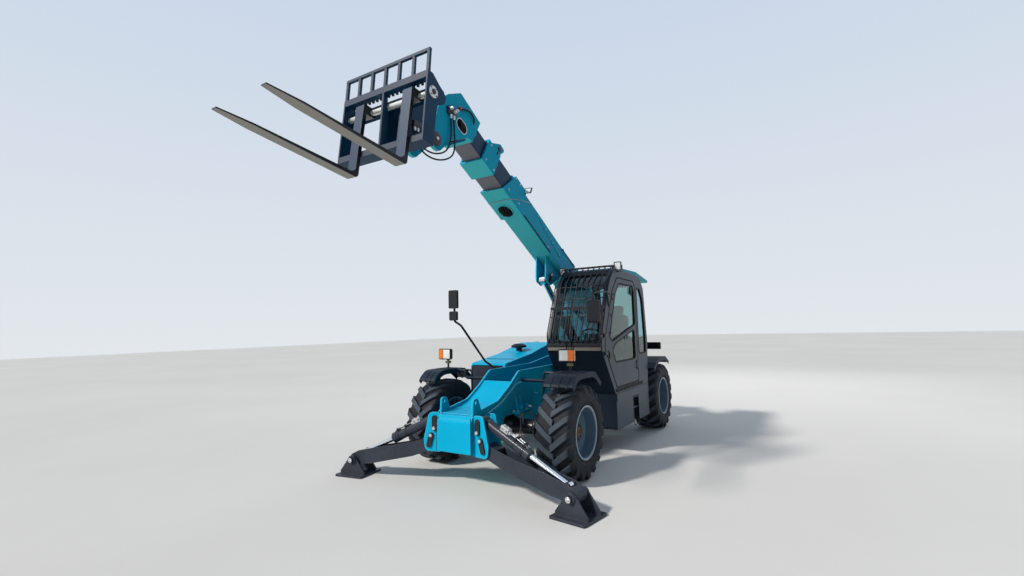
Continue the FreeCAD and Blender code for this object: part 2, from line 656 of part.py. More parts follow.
def cab_frame():
    shell = Piece("cab_frame")
    wall = size("cab_wall")
    shell.pad("side", cab_outline(0), "Sizes.cab_right", "Sizes.cab_left - Sizes.cab_right")
    shell.cut("side", cab_outline(wall), "Sizes.cab_right + Sizes.cab_wall",
              "Sizes.cab_left - Sizes.cab_right - 2 * Sizes.cab_wall")
    shell.cut("side", rounded(outset(DOOR, 6)), "Sizes.cab_left - 60", 100)
    shell.cut("side", rounded(REAR_SIDE), "Sizes.cab_left - 60", 100)
    shell.cut("side", rounded(RIGHT_GLASS), "Sizes.cab_right - 20", 100)
    front = size("cab_right") + 60
    left = size("cab_left") - 60
    shell.cut("front", rounded([(front, 1660), (left, 1660), (left, 2640), (front, 2640)]), 600, 900)
    shell.cut("front", rounded([(front, 1640, 40), (left, 1640, 40), (left, 2540, 60), (front, 2540, 60)]), 2600, 400)
    hinge_x = size("cab_left") + 14
    for level in HINGE_LEVELS:
        shell.pad("top", circle(hinge_x, HINGE_STATION, 8), level - 30, 60)
        for start in (level - 30, level + 15 + size("seat_gap")):
            lug = rounded([(size("cab_left") - 5, HINGE_STATION - 50), (hinge_x + 6, HINGE_STATION - 40),
                           (hinge_x + 13, HINGE_STATION + 13, 12), (size("cab_left"), HINGE_STATION + 13, 4)])
            shell.pad("top", lug, start, 15 - size("seat_gap"))
    shell.at(0, CAB_PLACE)
    keep("cab_frame", shell)


def cab_top(station):
    """Height of the cab's top face, which falls to the rear."""
    return 2740 - (station - 1400) * 50 / 1160


def cab_roof():
    roof = Piece("cab_roof")
    roof.pad("side", rounded([(1560, cab_top(1560)), (1580, 2765, 40), (2500, 2765, 200), (3140, 2660, 15),
                              (3140, 2620, 8), (2700, 2694, 100), (2480, cab_top(2480))]),
             "Sizes.cab_right + 20", "Sizes.cab_left - Sizes.cab_right - 40")
    roof.at(0, CAB_PLACE)
    keep("cab_roof", roof)


def cab_door():
    door = Piece("cab_door")
    door.pad("side", rounded(DOOR), "Sizes.cab_left - Sizes.cab_wall", "Sizes.cab_wall")
    door.cut("side", rounded(DOOR_GLASS), "Sizes.cab_left - 60", 100)
    door.cut("side", rounded(LOW_GLASS), "Sizes.cab_left - 60", 100)
    hinge_x = size("cab_left") + 14
    for level in HINGE_LEVELS:
        strap = rounded([(hinge_x - 13, HINGE_STATION - 13, 12), (hinge_x + 13, HINGE_STATION - 13, 12),
                         (hinge_x + 13, HINGE_STATION + 20, 20), (size("cab_left") + 10, HINGE_STATION + 110),
                         (size("cab_left") - 5, HINGE_STATION + 110), (size("cab_left") - 5, HINGE_STATION + 75),
                         (size("cab_left") + 1, HINGE_STATION + 70), (size("cab_left") + 1, HINGE_STATION + 15)])
        door.pad("top", strap, level - 15, 30)
        door.cut("top", circle(hinge_x, HINGE_STATION, 8 + GAP), level - 40, 80)
    door.at(0, CAB_PLACE)
    keep("cab_door", door)


def cab_glass():
    """Fixed panes, each seated in its opening."""
    panes = Piece("cab_glass")
    panes.pad("side", rounded(REAR_SIDE), "Sizes.cab_left - 20", "Sizes.glass")
    panes.pad("side", rounded(RIGHT_GLASS), "Sizes.cab_right + 14", "Sizes.glass")
    panes.at(0, CAB_PLACE)
    windscreen = Piece("windscreen")
    windscreen.pad("side", cab_outline(10), "Sizes.cab_right + 60", "Sizes.cab_left - Sizes.cab_right - 120")
    windscreen.cut("side", cab_outline(16), "Sizes.cab_right", "Sizes.cab_left - Sizes.cab_right")
    beyond = ((1500, 600, 3200, 3000), (600, 600, 3200, 1660), (600, 2640, 3200, 3000))
    for near, low, far, high in beyond:
        windscreen.cut("side", rounded([(near, low), (far, low), (far, high), (near, high)]), "Sizes.cab_right", 1000)
    windscreen.at(0, CAB_PLACE)
    grouped("cab_glass", [panes, windscreen])
    door_panes = Piece("door_glass")
    door_panes.pad("side", rounded(DOOR_GLASS), "Sizes.cab_left - 23", "Sizes.glass")
    door_panes.pad("side", rounded(LOW_GLASS), "Sizes.cab_left - 23", "Sizes.glass")
    door_panes.at(0, CAB_PLACE)
    keep("door_glass", door_panes)


def roof_guard():
    """Bent bars in front of the windscreen, held by three flat strips on feet at the cab's corners."""
    right = size("cab_right") + 20
    left = size("cab_left") - 20
    middle = (left + right) / 2
    width = left - right
    count = 10
    route = [(752, 1605), (735, 1750), (1075, 2520), (1330, 2766), (1510, 2786)]
    bars = [bent_tube([Vector(right + width * index / (count - 1), y, z) for y, z in route], 9, 120)
            for index in range(count)]
    strips = Piece("guard_strips")
    for y, z, deep, high in ((752, 1605, 26, 40), (905, 2135, 12, 40), (1510, 2786, 44, 26)):
        strips.pad("side", rounded([(y - deep / 2, z - high / 2), (y + deep / 2, z - high / 2),
                                    (y + deep / 2, z + high / 2), (y - deep / 2, z + high / 2)]),
                   middle, width + 30, True)
    foot = cab_top(1500) + size("seat_gap")
    for across in (right + 45, left - 45):
        strips.pad("side", rounded([(1500, foot), (1520, foot), (1520, 2786), (1500, 2786)]), across, 30, True)
        strips.pad("side", rounded([(755, 1590), (770, 1590), (770, 1620), (755, 1620)]), across, 30, True)
    strips.at(0, CAB_PLACE)
    fused("roof_guard", [strips, made("guard_bars", bars, CAB_PLACE)])


def cab_interior():
    """Seat, its box, and the steering column on the cab's floor."""
    middle = (size("cab_left") + size("cab_right")) / 2
    floor = 880 + size("cab_wall")
    seat = Piece("seat")
    seat.pad("side", rounded([(1900, floor), (2350, floor), (2350, 1330), (2480, 1360, 60), (2640, 2060, 60),
                              (2520, 2080, 60), (2370, 1560, 60), (1880, 1500, 60), (1860, 1360, 40), (1900, 1300)]),
             middle, 480, True)
    seat.at(0, CAB_PLACE)
    column = Piece("column")
    column.pad("side", rounded([(1300, floor), (1450, floor), (1380, 1500, 40), (1560, 1640, 10), (1540, 1670, 10),
                                (1300, 1520, 60)]), middle, 120, True)
    column.at(0, CAB_PLACE)
    grouped("cab_interior", [seat, column])


def side_step():
    """Tank and tool box under the cab, with a step let into its outer face."""
    box = Piece("side_step")
    rear = WHEELBASE - size("tray_clearance") + 100
    step = rear - 820
    box.pad("side", rounded([(1250, 360, 40), (rear, 360, 40), (rear, 879.7), (1250, 879.7)]), FRAME_HALF,
            1170 - FRAME_HALF)
    box.cut("side", rounded([(step, 300), (step + 280, 300), (step + 280, 800, 20), (step, 800, 20)]), 1010, 300)
    box.pad("side", rounded([(step, 560), (step + 280, 560), (step + 280, 580), (step, 580)]), 1005, 150)
    box.cut("top", rounded([(0, rear - 100), (900, rear - 100), (1080, rear + 5), (1080, rear + 100),
                            (0, rear + 100)]), 300, 700)
    box.at()
    keep("side_step", box)


TRAY_REAR = WHEELBASE - size("tray_clearance")
COVER_HINGE = (TRAY_REAR + 35, 1566)


def engine_bay():
    """Engine block on a tray at the frame's right, under a cover that is hinged along its inner edge."""
    inner = size("hood_inner")
    outer = size("hood_outer")
    wall = size("sheet_metal")
    tray = Piece("engine_tray")
    tray.pad("side", rounded([(870, 470, 60), (TRAY_REAR, 470, 60), (TRAY_REAR, 760), (870, 760)]), outer, inner - outer)
    tray.cut("side", rounded([(870 + wall, 470 + wall), (TRAY_REAR - wall, 470 + wall), (TRAY_REAR - wall, 900),
                              (870 + wall, 900)]), outer + wall, inner - outer - 2 * wall)
    for rail in (1100, TRAY_REAR - 430):
        tray.pad("side", rounded([(rail, 560), (rail + 200, 560), (rail + 200, 640), (rail, 640)]), inner,
                 -FRAME_HALF - inner)
    wall_back = TRAY_REAR + 10
    tray.pad("side", rounded([(wall_back - wall, 740), (wall_back, 740), (wall_back, 1540), (wall_back - wall, 1540)]),
             outer, inner - outer)
    for middle in (outer + 130, inner - 130):
        for way in (1, -1):
            lug = rounded([(wall_back, 1500), (COVER_HINGE[0] + 20, COVER_HINGE[1] - 20, 15),
                           (COVER_HINGE[0] + 20, COVER_HINGE[1] + 20, 19), (COVER_HINGE[0] - 20, COVER_HINGE[1] + 20, 19),
                           (wall_back - 5, 1540), (wall_back - 5, 1500)])
            tray.pad("side", lug, middle + way * 38, 20, True)
        tray.pad("side", circle(*COVER_HINGE, 10), middle, 90, True)
    tray.at()
    keep("engine_tray", tray)
    block = Piece("engine_block")
    block.pad("side", rounded([(1200, 470 + wall), (TRAY_REAR - 500, 470 + wall), (TRAY_REAR - 500, 1080, 60),
                               (1200, 1080, 60)]), outer + 120,
              inner - outer - 240)
    block.at()
    keep("engine_block", block)
    cover = Piece("engine_cover")
    low = 765

    def hood(inset):
        rear = TRAY_REAR - 15 + 4 * inset
        return rounded([(860 + inset, low - inset * 2), (770 + inset, 1000, 40), (780 + inset, 1310 - inset, 80),
                        (1600, 1420 - inset, 400), (TRAY_REAR - 350, 1580 - inset, 200), (rear, 1580 - inset),
                        (rear, low - inset * 2)])

    cover.pad("side", hood(0), outer, inner - outer)
    cover.cut("side", hood(wall), outer + wall, inner - outer - 2 * wall)
    cover.pad("top", circle(outer + 330, 1750, 60), 1410, 55)
    for middle in (outer + 130, inner - 130):
        strap = rounded([(COVER_HINGE[0] - 115, 1562), (COVER_HINGE[0] - 115, 1580), (COVER_HINGE[0] + 10, 1588, 20),
                         (COVER_HINGE[0] + 22, 1565, 15), (COVER_HINGE[0] + 10, 1545, 10),
                         (COVER_HINGE[0] - 14, 1550, 10), (COVER_HINGE[0] - 20, 1562)])
        cover.pad("side", strap, middle, 54, True)
        cover.cut("side", circle(*COVER_HINGE, 10 + GAP), middle, 120, True)
    cover.at()
    keep("engine_cover", cover)
    cleaner = Piece("air_cleaner")
    cleaner.turn(rounded([(0, 0), (50, 0), (50, 45), (135, 58), (135, 90), (75, 120), (0, 125)]), "front", "V_Axis")
    cleaner.at("Sizes.hood_outer + 330", 1750, 1465)
    keep("air_cleaner", cleaner)


def front_fenders():
    """Curved guards over the front tyres, each on a bent tube from the frame."""
    pieces = []
    edge = size("wheel_track") / 2 - 170
    for side in (1, -1):
        guard = Piece("fender")
        width = 400 if side > 0 else 300
        guard.pad("side", rounded([(-390, 1150, 8), (-370, 1185, 30), (-250, 1290, 160), (300, 1290, 160),
                                   (500, 1125, 8), (480, 1115, 8), (290, 1266, 150), (-240, 1266, 150),
                                   (-355, 1165, 20), (-370, 1140, 8)]), side * (edge + width / 2), width, True)
        guard.at()
        tube = bent_tube([Vector(side * (FRAME_HALF + size("doubler")), 120, 1160), Vector(side * 700, 120, 1160),
                          Vector(side * 700, 120, 1250), Vector(side * (edge + 20), 120, 1280)], 22, 40)
        pieces += [guard, made("fender_tube", [tube])]
    fused("front_fenders", pieces)


def rear_fenders():
    pieces = []
    for side in (1, -1):
        guard = Piece("rear_fender")
        station = WHEELBASE
        edge = size("wheel_track") / 2 - 170
        guard.pad("side", rounded([(station - 560, 1110, 8), (station - 420, 1200, 60), (station - 200, 1275, 160),
                                   (station + 200, 1275, 160), (station + 430, 1165, 8), (station + 418, 1143, 8),
                                   (station + 195, 1250, 150), (station - 195, 1250, 150),
                                   (station - 410, 1178, 60), (station - 545, 1092, 8)]), side * (edge + 200), 400, True)
        guard.at()
        tube = bent_tube([Vector(side * FRAME_HALF, station - 100, 1160), Vector(side * 700, station - 100, 1160),
                          Vector(side * 700, station - 100, 1240), Vector(side * (edge + 20), station - 100, 1262)],
                         22, 40)
        pieces += [guard, made("rear_fender_tube", [tube])]
    fused("rear_fenders", pieces)


def lamps():
    """Head lamps on the front guards, roof lamps and the rear lamp bar."""
    pieces = []
    for side in (1, -1):
        lamp = Piece("head_lamp")
        middle = side * 1000 - 38
        lamp.pad("front", rounded([(middle - 110, 1420, 15), (middle + 110, 1420, 15), (middle + 110, 1580, 15),
                                   (middle - 110, 1580, 15)]), 40, 90)
        lamp.pad("front", circle(side * 1000, 1400, 15), 70, 30)
        lamp.pad("top", circle(side * 1000, 85, 15), 1290, 150)
        lamp.at()
        pieces.append(lamp)
    bar = Piece("rear_bar")
    bar.pad("front", rounded([(300, 1400, 10), (1150, 1400, 10), (1150, 1530, 10), (300, 1530, 10)]),
            WHEELBASE + 260, 60)
    bar.cut("front", rounded([(700, 1450, 18), (1100, 1450, 18), (1100, 1490, 18), (700, 1490, 18)]),
            WHEELBASE + 200, 200)
    bar.pad("front", rounded([(FRAME_HALF, 1400), (320, 1400), (320, 1470), (FRAME_HALF, 1470)]),
            WHEELBASE + 200, 120)
    bar.at()
    pieces.append(bar)
    grouped("lamps", pieces)


def mirrors():
    """A long bent pole on the frame's right with two mirrors, and a mirror on the cab's pillar."""
    pole = bent_tube([Vector(-FRAME_HALF, 560, 1230), Vector(-420, 560, 1230), Vector(-550, 400, 1380),
                      Vector(-550, -180, 1920), Vector(-650, -195, 1980), Vector(-650, -195, 2420)], 16, 40)
    heads = Piece("mirror_heads")
    heads.pad("front", rounded([(-725, 2160, 20), (-575, 2160, 20), (-575, 2420, 20), (-725, 2420, 20)]), -235, 40)
    heads.pad("front", rounded([(-715, 1990, 20), (-585, 1990, 20), (-585, 2120, 20), (-715, 2120, 20)]), -235, 40)
    heads.at()
    fused("mirrors", [made("mirror_pole", [pole]), heads])


def counterweight():
    weight = Piece("counterweight")
    front = WHEELBASE + 600
    rear = WHEELBASE + 790
    weight.pad("top", rounded([(-520, front), (-520, rear, 60), (520, rear, 60), (520, front), (FRAME_HALF, front),
                               (FRAME_HALF, FRAME_REAR), (-FRAME_HALF, FRAME_REAR), (-FRAME_HALF, front)]), 660, 640)
    for level in (740, 830):
        weight.pad("top", rounded([(-80, rear - 40), (80, rear - 40), (80, rear + 40, 40), (30, rear + 80, 30),
                                   (-30, rear + 80, 30), (-80, rear + 40, 40)]), level, 25)
    weight.cut("top", circle(0, rear + 35, size("tow_pin_radius")), 700, 400)
    weight.at()
    keep("counterweight", weight)


# Boom: every section is drawn along its own +Y, which points from the pivot to the mouth
BOOM_ANGLE = size("boom_angle")
BOOM_TURN = Rotation(Vector(0, 0, 1), 180).multiply(Rotation(Vector(1, 0, 0), BOOM_ANGLE))


def boom_place(item):
    place(item, 0, "Sizes.wheelbase + Sizes.boom_pivot_behind", "Sizes.boom_pivot_height", BOOM_TURN)


def tube_section(name, width, depth, wall, start, end):
    """A welded box section with rounded corners."""
    half = width / 2
    tall = depth / 2
    outer = rounded([(-half, -tall, 25), (half, -tall, 25), (half, tall, 25), (-half, tall, 25)])
    inner = rounded([(wall - half, wall - tall, 18), (half - wall, wall - tall, 18),
                     (half - wall, tall - wall, 18), (wall - half, tall - wall, 18)])
    section = Piece(name)
    section.pad("front", outer, start, end - start)
    section.cut("front", inner, start, end - start)
    return section


def slide_pads(section, width, depth, start):
    """Wear blocks on the four faces of a section, which run inside the next larger one."""
    thick = size("slide_gap") - size("seat_gap")
    length = size("slide_pad")
    for way in (1, -1):
        flank = way * width / 2
        edge = way * depth / 2
        section.pad("front", rounded([(flank, -60), (flank + way * thick, -60), (flank + way * thick, 60),
                                      (flank, 60)]), start, length)
        section.pad("front", rounded([(-70, edge), (70, edge), (70, edge + way * thick), (-70, edge + way * thick)]),
                    start, length)


def boom():
    width = size("outer_width")
    depth = size("outer_depth")
    gap = size("slide_gap")
    outer_end = size("outer_length")
    outer = tube_section("outer_tube", width, depth, size("outer_wall"), 90, outer_end)
    eye = size("boom_pin_radius") + GAP
    outer.pad("side", rounded([(-95, -95, 90), (300, -depth / 2), (300, depth / 2), (-95, 95, 90)]), 0,
              "Sizes.frame_width - 2 * Sizes.frame_plate - 10", True)
    outer.cut("side", circle(0, 0, eye), 0, 900, True)
    outer.cut("front", rounded([(wall_side * (width / 2 - 8), wall_up * (depth / 2 - 8), 18)
                                for wall_side, wall_up in ((-1, -1), (1, -1), (1, 1), (-1, 1))]), 130, 400)
    along = size("lift_eye_along")
    below = size("lift_eye_below")
    for way in (1, -1):
        outer.pad("side", rounded([(along - 350, -depth / 2 + 6), (along - 90, -below - 60, 60),
                                   (along + 90, -below - 60, 60), (along + 260, -depth / 2 + 6)]), way * 85, 20, True)
        outer.pad("side", circle(along, -below, 55), way * 85, 40, True)
    collar = tube_section("collar", width + 50, depth + 60, 31.5, outer_end - 490, outer_end + 150)
    tall = depth / 2 + 70
    for near, high, far in ((outer_end - 600, outer_end - 360, outer_end - 490), (outer_end + 300, outer_end - 80,
                                                                                outer_end + 155)):
        collar.cut("side", rounded([(near, -tall), (near, tall), (high, tall), (far, -tall)]), 0, 600, True)
    for piece in (outer, collar):
        boom_place(piece.body)
    fused("boom_outer", [outer, collar])
    middle_width = width - 2 * size("outer_wall") - 2 * gap
    middle_depth = depth - 2 * size("outer_wall") - 2 * gap
    middle = tube_section("boom_middle", middle_width, middle_depth, size("middle_wall"),
                          size("middle_start"), size("middle_end"))
    slide_pads(middle, middle_width, middle_depth, size("middle_start"))
    slide_pads(middle, middle_width, middle_depth, outer_end - size("slide_pad") - 400)
    boom_place(middle.body)
    keep("boom_middle", middle)
    mouth = size("middle_end")
    middle_collar = tube_section("boom_collar", middle_width + 60, middle_depth + 60, 30, mouth - 300, mouth)
    top = middle_depth / 2
    for way in (1, -1):
        middle_collar.pad("side", rounded([(mouth - 300, top + 10), (mouth - 400, top + 215, 30),
                                           (mouth - 270, top + 225, 40), (mouth - 40, top + 20)]), way * 130, 20, True)
    boom_place(middle_collar.body)
    keep("boom_collar", middle_collar)
    inner_width = middle_width - 2 * size("middle_wall") - 2 * gap
    inner_depth = middle_depth - 2 * size("middle_wall") - 2 * gap
    inner = tube_section("boom_inner", inner_width, inner_depth, size("inner_wall"),
                         size("inner_start"), size("inner_end"))
    slide_pads(inner, inner_width, inner_depth, size("inner_start"))
    slide_pads(inner, inner_width, inner_depth, mouth - size("slide_pad") - 300)
    inner.cut("side", circle(size("tilt_base_along"), size("tilt_base_above"), 25), 0, 900, True)
    boom_place(inner.body)
    keep("boom_inner", inner)
    head = Piece("boom_head")
    face = size("inner_end")
    start = size("head_start")
    low = -size("tilt_pin_below")
    along = size("tilt_pin_along")
    head.pad("side", rounded([(start, -inner_depth / 2 - 30), (start + 90, -inner_depth / 2 - 50, 60),
                              (along - 220, -480, 60), (along - 130, low - 60, 40), (along - 70, low - 85, 40),
                              (along + 80, low - 85, 60), (along + 80, low + 150, 60), (along + 150, -330, 60),
                              (along + 110, -40, 120), (along - 60, inner_depth / 2 + 45, 40),
                              (start, inner_depth / 2 + 30)]), 0, "Sizes.head_width", True)
    head.cut("side", rounded([(face - 10, -900), (along + 400, -900), (along + 400, 110), (face - 10, 110)]), 0,
             "Sizes.head_width - 2 * Sizes.head_plate", True)
    head.cut("front", rounded([(-inner_width / 2, -inner_depth / 2, 25), (inner_width / 2, -inner_depth / 2, 25),
                               (inner_width / 2, inner_depth / 2, 25), (-inner_width / 2, inner_depth / 2, 25)]),
             start - 50, face - start + 50)
    head.pad("side", circle(along, low, PIN), 0, "Sizes.head_width + 40", True)
    base = (size("tilt_base_along"), size("tilt_base_above"))
    head_pin = Piece("tilt_base_pin")
    head_pin.pad("side", circle(*base, 25), 0, inner_width, True)
    boom_place(head.body)
    boom_place(head_pin.body)
    grouped("boom_head", [head, head_pin])


def ram(names, base, eye, bore, rod_radius, gland, stroke, eye_width, pin_radius, open_eye):
    """A hydraulic ram between two points of the side view: stations from the front axle, and heights."""
    span = Vector(0, eye[0] - base[0], eye[1] - base[1])
    slope = math.degrees(math.atan2(span.z, -span.y))
    way = Rotation(Vector(0, 0, 1), -90).multiply(Rotation(Vector(0, 1, 0), -slope))
    barrel = Piece(names[0])
    hollow = rod_radius + GAP
    barrel.turn(rounded([(bore * 0.8, 0), (bore * 0.8, bore * 0.8, 10), (bore * 1.5, bore), (gland - 70, bore),
                         (gland - 70, bore + 8, 2), (gland, bore + 8, 5), (gland, hollow), (bore * 2, hollow),
                         (bore * 2, 0)]))
    barrel.pad("front", circle(0, 0, bore * 0.9), 0, eye_width, True)
    barrel.cut("front", circle(0, 0, pin_radius + GAP), 0, 900, True)
    barrel.at(0, base[0], base[1], way)
    keep(names[0], barrel)
    rod = Piece(names[1])
    inside = span.Length - gland + stroke
    end = open_eye + 8
    rod.turn(rounded([(-inside, 0), (-inside, rod_radius), (-end, rod_radius), (-end, 0)]))
    rod.pad("front", circle(0, 0, bore * 0.85), 0, eye_width * 0.8, True)
    rod.cut("front", circle(0, 0, open_eye), 0, 900, True)
    rod.at(0, eye[0], eye[1], way)
    keep(names[1], rod)


def boom_point(along, above):
    """Station and height of a point given along the boom and above its middle line."""
    angle = math.radians(BOOM_ANGLE)
    return (BOOM_BACK - along * math.cos(angle) + above * math.sin(angle),
            BOOM_HEIGHT + along * math.sin(angle) + above * math.cos(angle))


LEAN = math.radians(size("carriage_lean"))
TILT_PIN = boom_point(size("tilt_pin_along"), -size("tilt_pin_below"))
CARRIAGE_TURN = Rotation(Vector(0, 0, 1), 180).multiply(Rotation(Vector(1, 0, 0), size("carriage_lean")))


def carriage_point(ahead, above):
    """Station and height of a point given ahead of and above the carriage's pivot."""
    return (TILT_PIN[0] - ahead * math.cos(LEAN) + above * math.sin(LEAN),
            TILT_PIN[1] + ahead * math.sin(LEAN) + above * math.cos(LEAN))


def carriage_place(item):
    place(item, 0, TILT_PIN[0], TILT_PIN[1], CARRIAGE_TURN)


def fork_carriage():
    """Side plates, three cross bars, a load guard and the two lugs that hang it on the boom's head."""
    half = size("carriage_width") / 2
    plate = size("carriage_plate")
    top = size("carriage_top")
    foot = size("carriage_foot")
    frame = Piece("carriage_frame")
    cheek = rounded([(460, foot), (615, foot), (635, top), (560, top, 30), (470, 300, 30), (330, 215, 40),
                     (350, 120, 40), (450, 60, 60), (460, -100)])
    for way in (1, -1):
        frame.pad("side", cheek, way * (half - plate / 2), plate, True)
    frame.pad("side", rounded([(560, top - 75), (632, top - 75), (635, top), (560, top)]), 0, 2 * half, True)
    frame.pad("side", rounded([(462, foot), (615, foot), (615, foot + 70), (480, foot + 70)]), 0, 2 * half, True)
    frame.pad("side", rounded([(370, 190), (470, 240), (470, 290), (370, 250)]), 0, 2 * half, True)
    frame.pad("side", rounded([(470, foot), (600, foot), (635, top), (590, top)]), 0, 25, True)
    lug = rounded([(-62, -62, 60), (80, -62, 60), (470, foot + 10, 60), (470, 280), (220, 400, 60), (100, 390, 60),
                   (-62, 80, 60)])
    for way in (1, -1):
        frame.pad("side", lug, way * 120, 30, True)
    frame.cut("side", circle(0, 0, PIN + GAP), 0, 900, True)
    frame.cut("side", circle(size("shaft_ahead"), size("shaft_above"), size("shaft_radius") + GAP), 0, 2000, True)
    eye = circle(size("tilt_eye_ahead"), size("tilt_eye_above"), 34)
    for way in (1, -1):
        frame.pad("side", eye, way * 82, 46, True)
    posts = 7
    for index in range(posts):
        across = -(half - 17) + index * (2 * half - 34) / (posts - 1)
        frame.pad("side", rounded([(598, top - 10), (628, top - 10), (642, size("guard_top")),
                                   (612, size("guard_top"))]), across, 34, True)
    frame.pad("side", rounded([(610, size("guard_top") - 34), (642, size("guard_top") - 34),
                               (642, size("guard_top")), (610, size("guard_top"))]), 0, 2 * half, True)
    carriage_place(frame.body)
    keep("fork_carriage", frame)
    shaft = Piece("fork_shaft")
    shaft.pad("side", circle(size("shaft_ahead"), size("shaft_above"), size("shaft_radius")), 0,
              "Sizes.carriage_width + 30", True)
    carriage_place(shaft.body)
    keep("fork_shaft", shaft)
    heel = -640
    thick = size("fork_thickness")
    front = 615.3 + thick
    tip = front + size("fork_length") - 10
    for side, hand in ((1, "left"), (-1, "right")):
        fork = Piece("fork_" + hand)
        middle = -side * size("fork_spread") / 2 - size("fork_shift")
        eye_ahead = size("shaft_ahead")
        eye_above = size("shaft_above")
        fork.pad("side", rounded([(front, heel + thick, 60), (front, eye_above + 55, 20), (eye_ahead - 50, eye_above + 55, 50),
                                  (eye_ahead - 50, eye_above - 50, 50), (front - thick, eye_above - 50),
                                  (front - thick, heel, 40), (tip, heel + thick - 12, 4), (tip, heel + thick, 4)]),
                 middle, size("fork_width"), True)
        for way in (1, -1):
            flank = middle + way * size("fork_width") / 2
            fork.cut("top", rounded([(flank + way, tip - 320), (flank + way, tip + 5), (middle + way * 30, tip + 5)]),
                     heel - 50, 200)
        fork.cut("side", circle(eye_ahead, eye_above, size("shaft_radius") + GAP), 0, 3000, True)
        carriage_place(fork.body)
        keep("fork_" + hand, fork)


def write_parts():
    document.recompute()
    for item in document.Objects:
        if "Invalid" in item.State or "Error" in item.State:
            raise SystemExit("failed: %s %s" % (item.Label, item.State))
    os.makedirs("parts", exist_ok=True)
    for label, item in nodes.items():
        if item.Shape.isNull() or not item.Shape.isValid():
            raise SystemExit("no valid shape: " + label)
        item.Shape.exportStep("parts/%s.step" % label)
        box = item.Shape.BoundBox
        print("%-26s solids %2d volume %10.0f cm3 y %6.0f to %6.0f z %5.0f to %5.0f" % (
            label, len(item.Shape.Solids), item.Shape.Volume / 1000, box.YMin, box.YMax, box.ZMin, box.ZMax))


chassis_frame()
nose_box()
for side, hand in ((1, "left"), (-1, "right")):
    stabiliser_arm(side, "stabiliser_arm_" + hand)
    stabiliser_foot(side, "stabiliser_foot_" + hand)
    stabiliser_ram(side, "stabiliser_barrel_" + hand, "stabiliser_rod_" + hand)
worn_tyre = tyre_form()
for end, station in (("front", 0), ("rear", WHEELBASE)):
    axle(end + "_axle", station)
    for side, hand in ((1, "left"), (-1, "right")):
        corner = "%s_%s" % (end, hand)
        knuckle("knuckle_" + corner, side, station)
        rim("rim_" + corner, side, station)
        tyre("tyre_" + corner, worn_tyre, side, station)
cab_frame()
cab_roof()
cab_door()
cab_glass()
roof_guard()
cab_interior()
side_step()
engine_bay()
front_fenders()
rear_fenders()
lamps()
mirrors()
counterweight()
boom()
ram(("lift_barrel", "lift_rod"), (LIFT_BACK, LIFT_HEIGHT), boom_point(size("lift_eye_along"), -size("lift_eye_below")),
    size("lift_bore"), size("lift_rod"), size("lift_barrel"), 180, 120, size("boom_pin_radius"), 40)
ram(("tilt_barrel", "tilt_rod"), boom_point(size("tilt_base_along"), size("tilt_base_above")),
    carriage_point(size("tilt_eye_ahead"), size("tilt_eye_above")), size("tilt_bore"), size("tilt_rod"),
    size("tilt_barrel"), 60, 100, 25, 25)
fork_carriage()
write_parts()
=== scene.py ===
# %% [markdown]
# A telehandler is a building-site lift truck with a boom that telescopes. This lesson dresses its packed
# construction model for a picture. The model comes in as a fixed frame: one object for each named piece,
# each riding on a body that can move. Everything made here is in metres in that same frame, so a lamp or a
# hose goes where the model says, and no piece is fitted by eye afterwards.

# %% Load the frame
import math

import bmesh
import bpy
from mathutils import Matrix, Vector
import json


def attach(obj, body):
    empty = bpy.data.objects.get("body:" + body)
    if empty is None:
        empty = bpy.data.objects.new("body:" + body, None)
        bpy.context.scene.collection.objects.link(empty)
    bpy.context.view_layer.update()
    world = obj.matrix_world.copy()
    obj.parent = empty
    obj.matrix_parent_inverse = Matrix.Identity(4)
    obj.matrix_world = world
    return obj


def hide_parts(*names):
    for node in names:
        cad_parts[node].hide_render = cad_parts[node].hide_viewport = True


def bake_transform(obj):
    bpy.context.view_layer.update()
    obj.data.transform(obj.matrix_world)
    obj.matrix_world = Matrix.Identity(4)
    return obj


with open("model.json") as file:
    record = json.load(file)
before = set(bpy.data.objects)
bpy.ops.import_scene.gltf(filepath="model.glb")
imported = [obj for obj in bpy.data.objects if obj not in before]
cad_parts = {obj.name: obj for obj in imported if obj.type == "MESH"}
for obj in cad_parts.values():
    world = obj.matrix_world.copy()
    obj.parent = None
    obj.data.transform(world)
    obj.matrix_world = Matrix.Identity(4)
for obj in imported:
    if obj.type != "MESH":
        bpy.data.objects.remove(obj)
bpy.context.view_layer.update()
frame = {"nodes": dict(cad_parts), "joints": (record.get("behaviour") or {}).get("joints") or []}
nodes = frame["nodes"]

# %% [markdown]
# The photograph was taken by someone standing a few steps from the left front wheel, with a wide lens held
# at head height and tipped up at the raised forks. The camera's place, angle and focal length were worked
# out from pixels whose real places are known, such as the wheel centres, the pads and the fork tips. The
# camera is built from its own three directions, so that its small roll is kept too.

# %% Camera
FRONT_AXLE = -0.28
EYE = Vector((3.756, -5.708 + FRONT_AXLE, 1.876))
azimuth, elevation, roll = (math.radians(angle) for angle in (31.86, -6.19, -1.32))
forward = Vector((-math.sin(azimuth) * math.cos(elevation), math.cos(azimuth) * math.cos(elevation),
                  -math.sin(elevation)))
level_right = forward.cross(Vector((0, 0, 1))).normalized()
level_up = level_right.cross(forward)
camera_right = level_right * math.cos(roll) + level_up * math.sin(roll)
camera_up = level_up * math.cos(roll) - level_right * math.sin(roll)

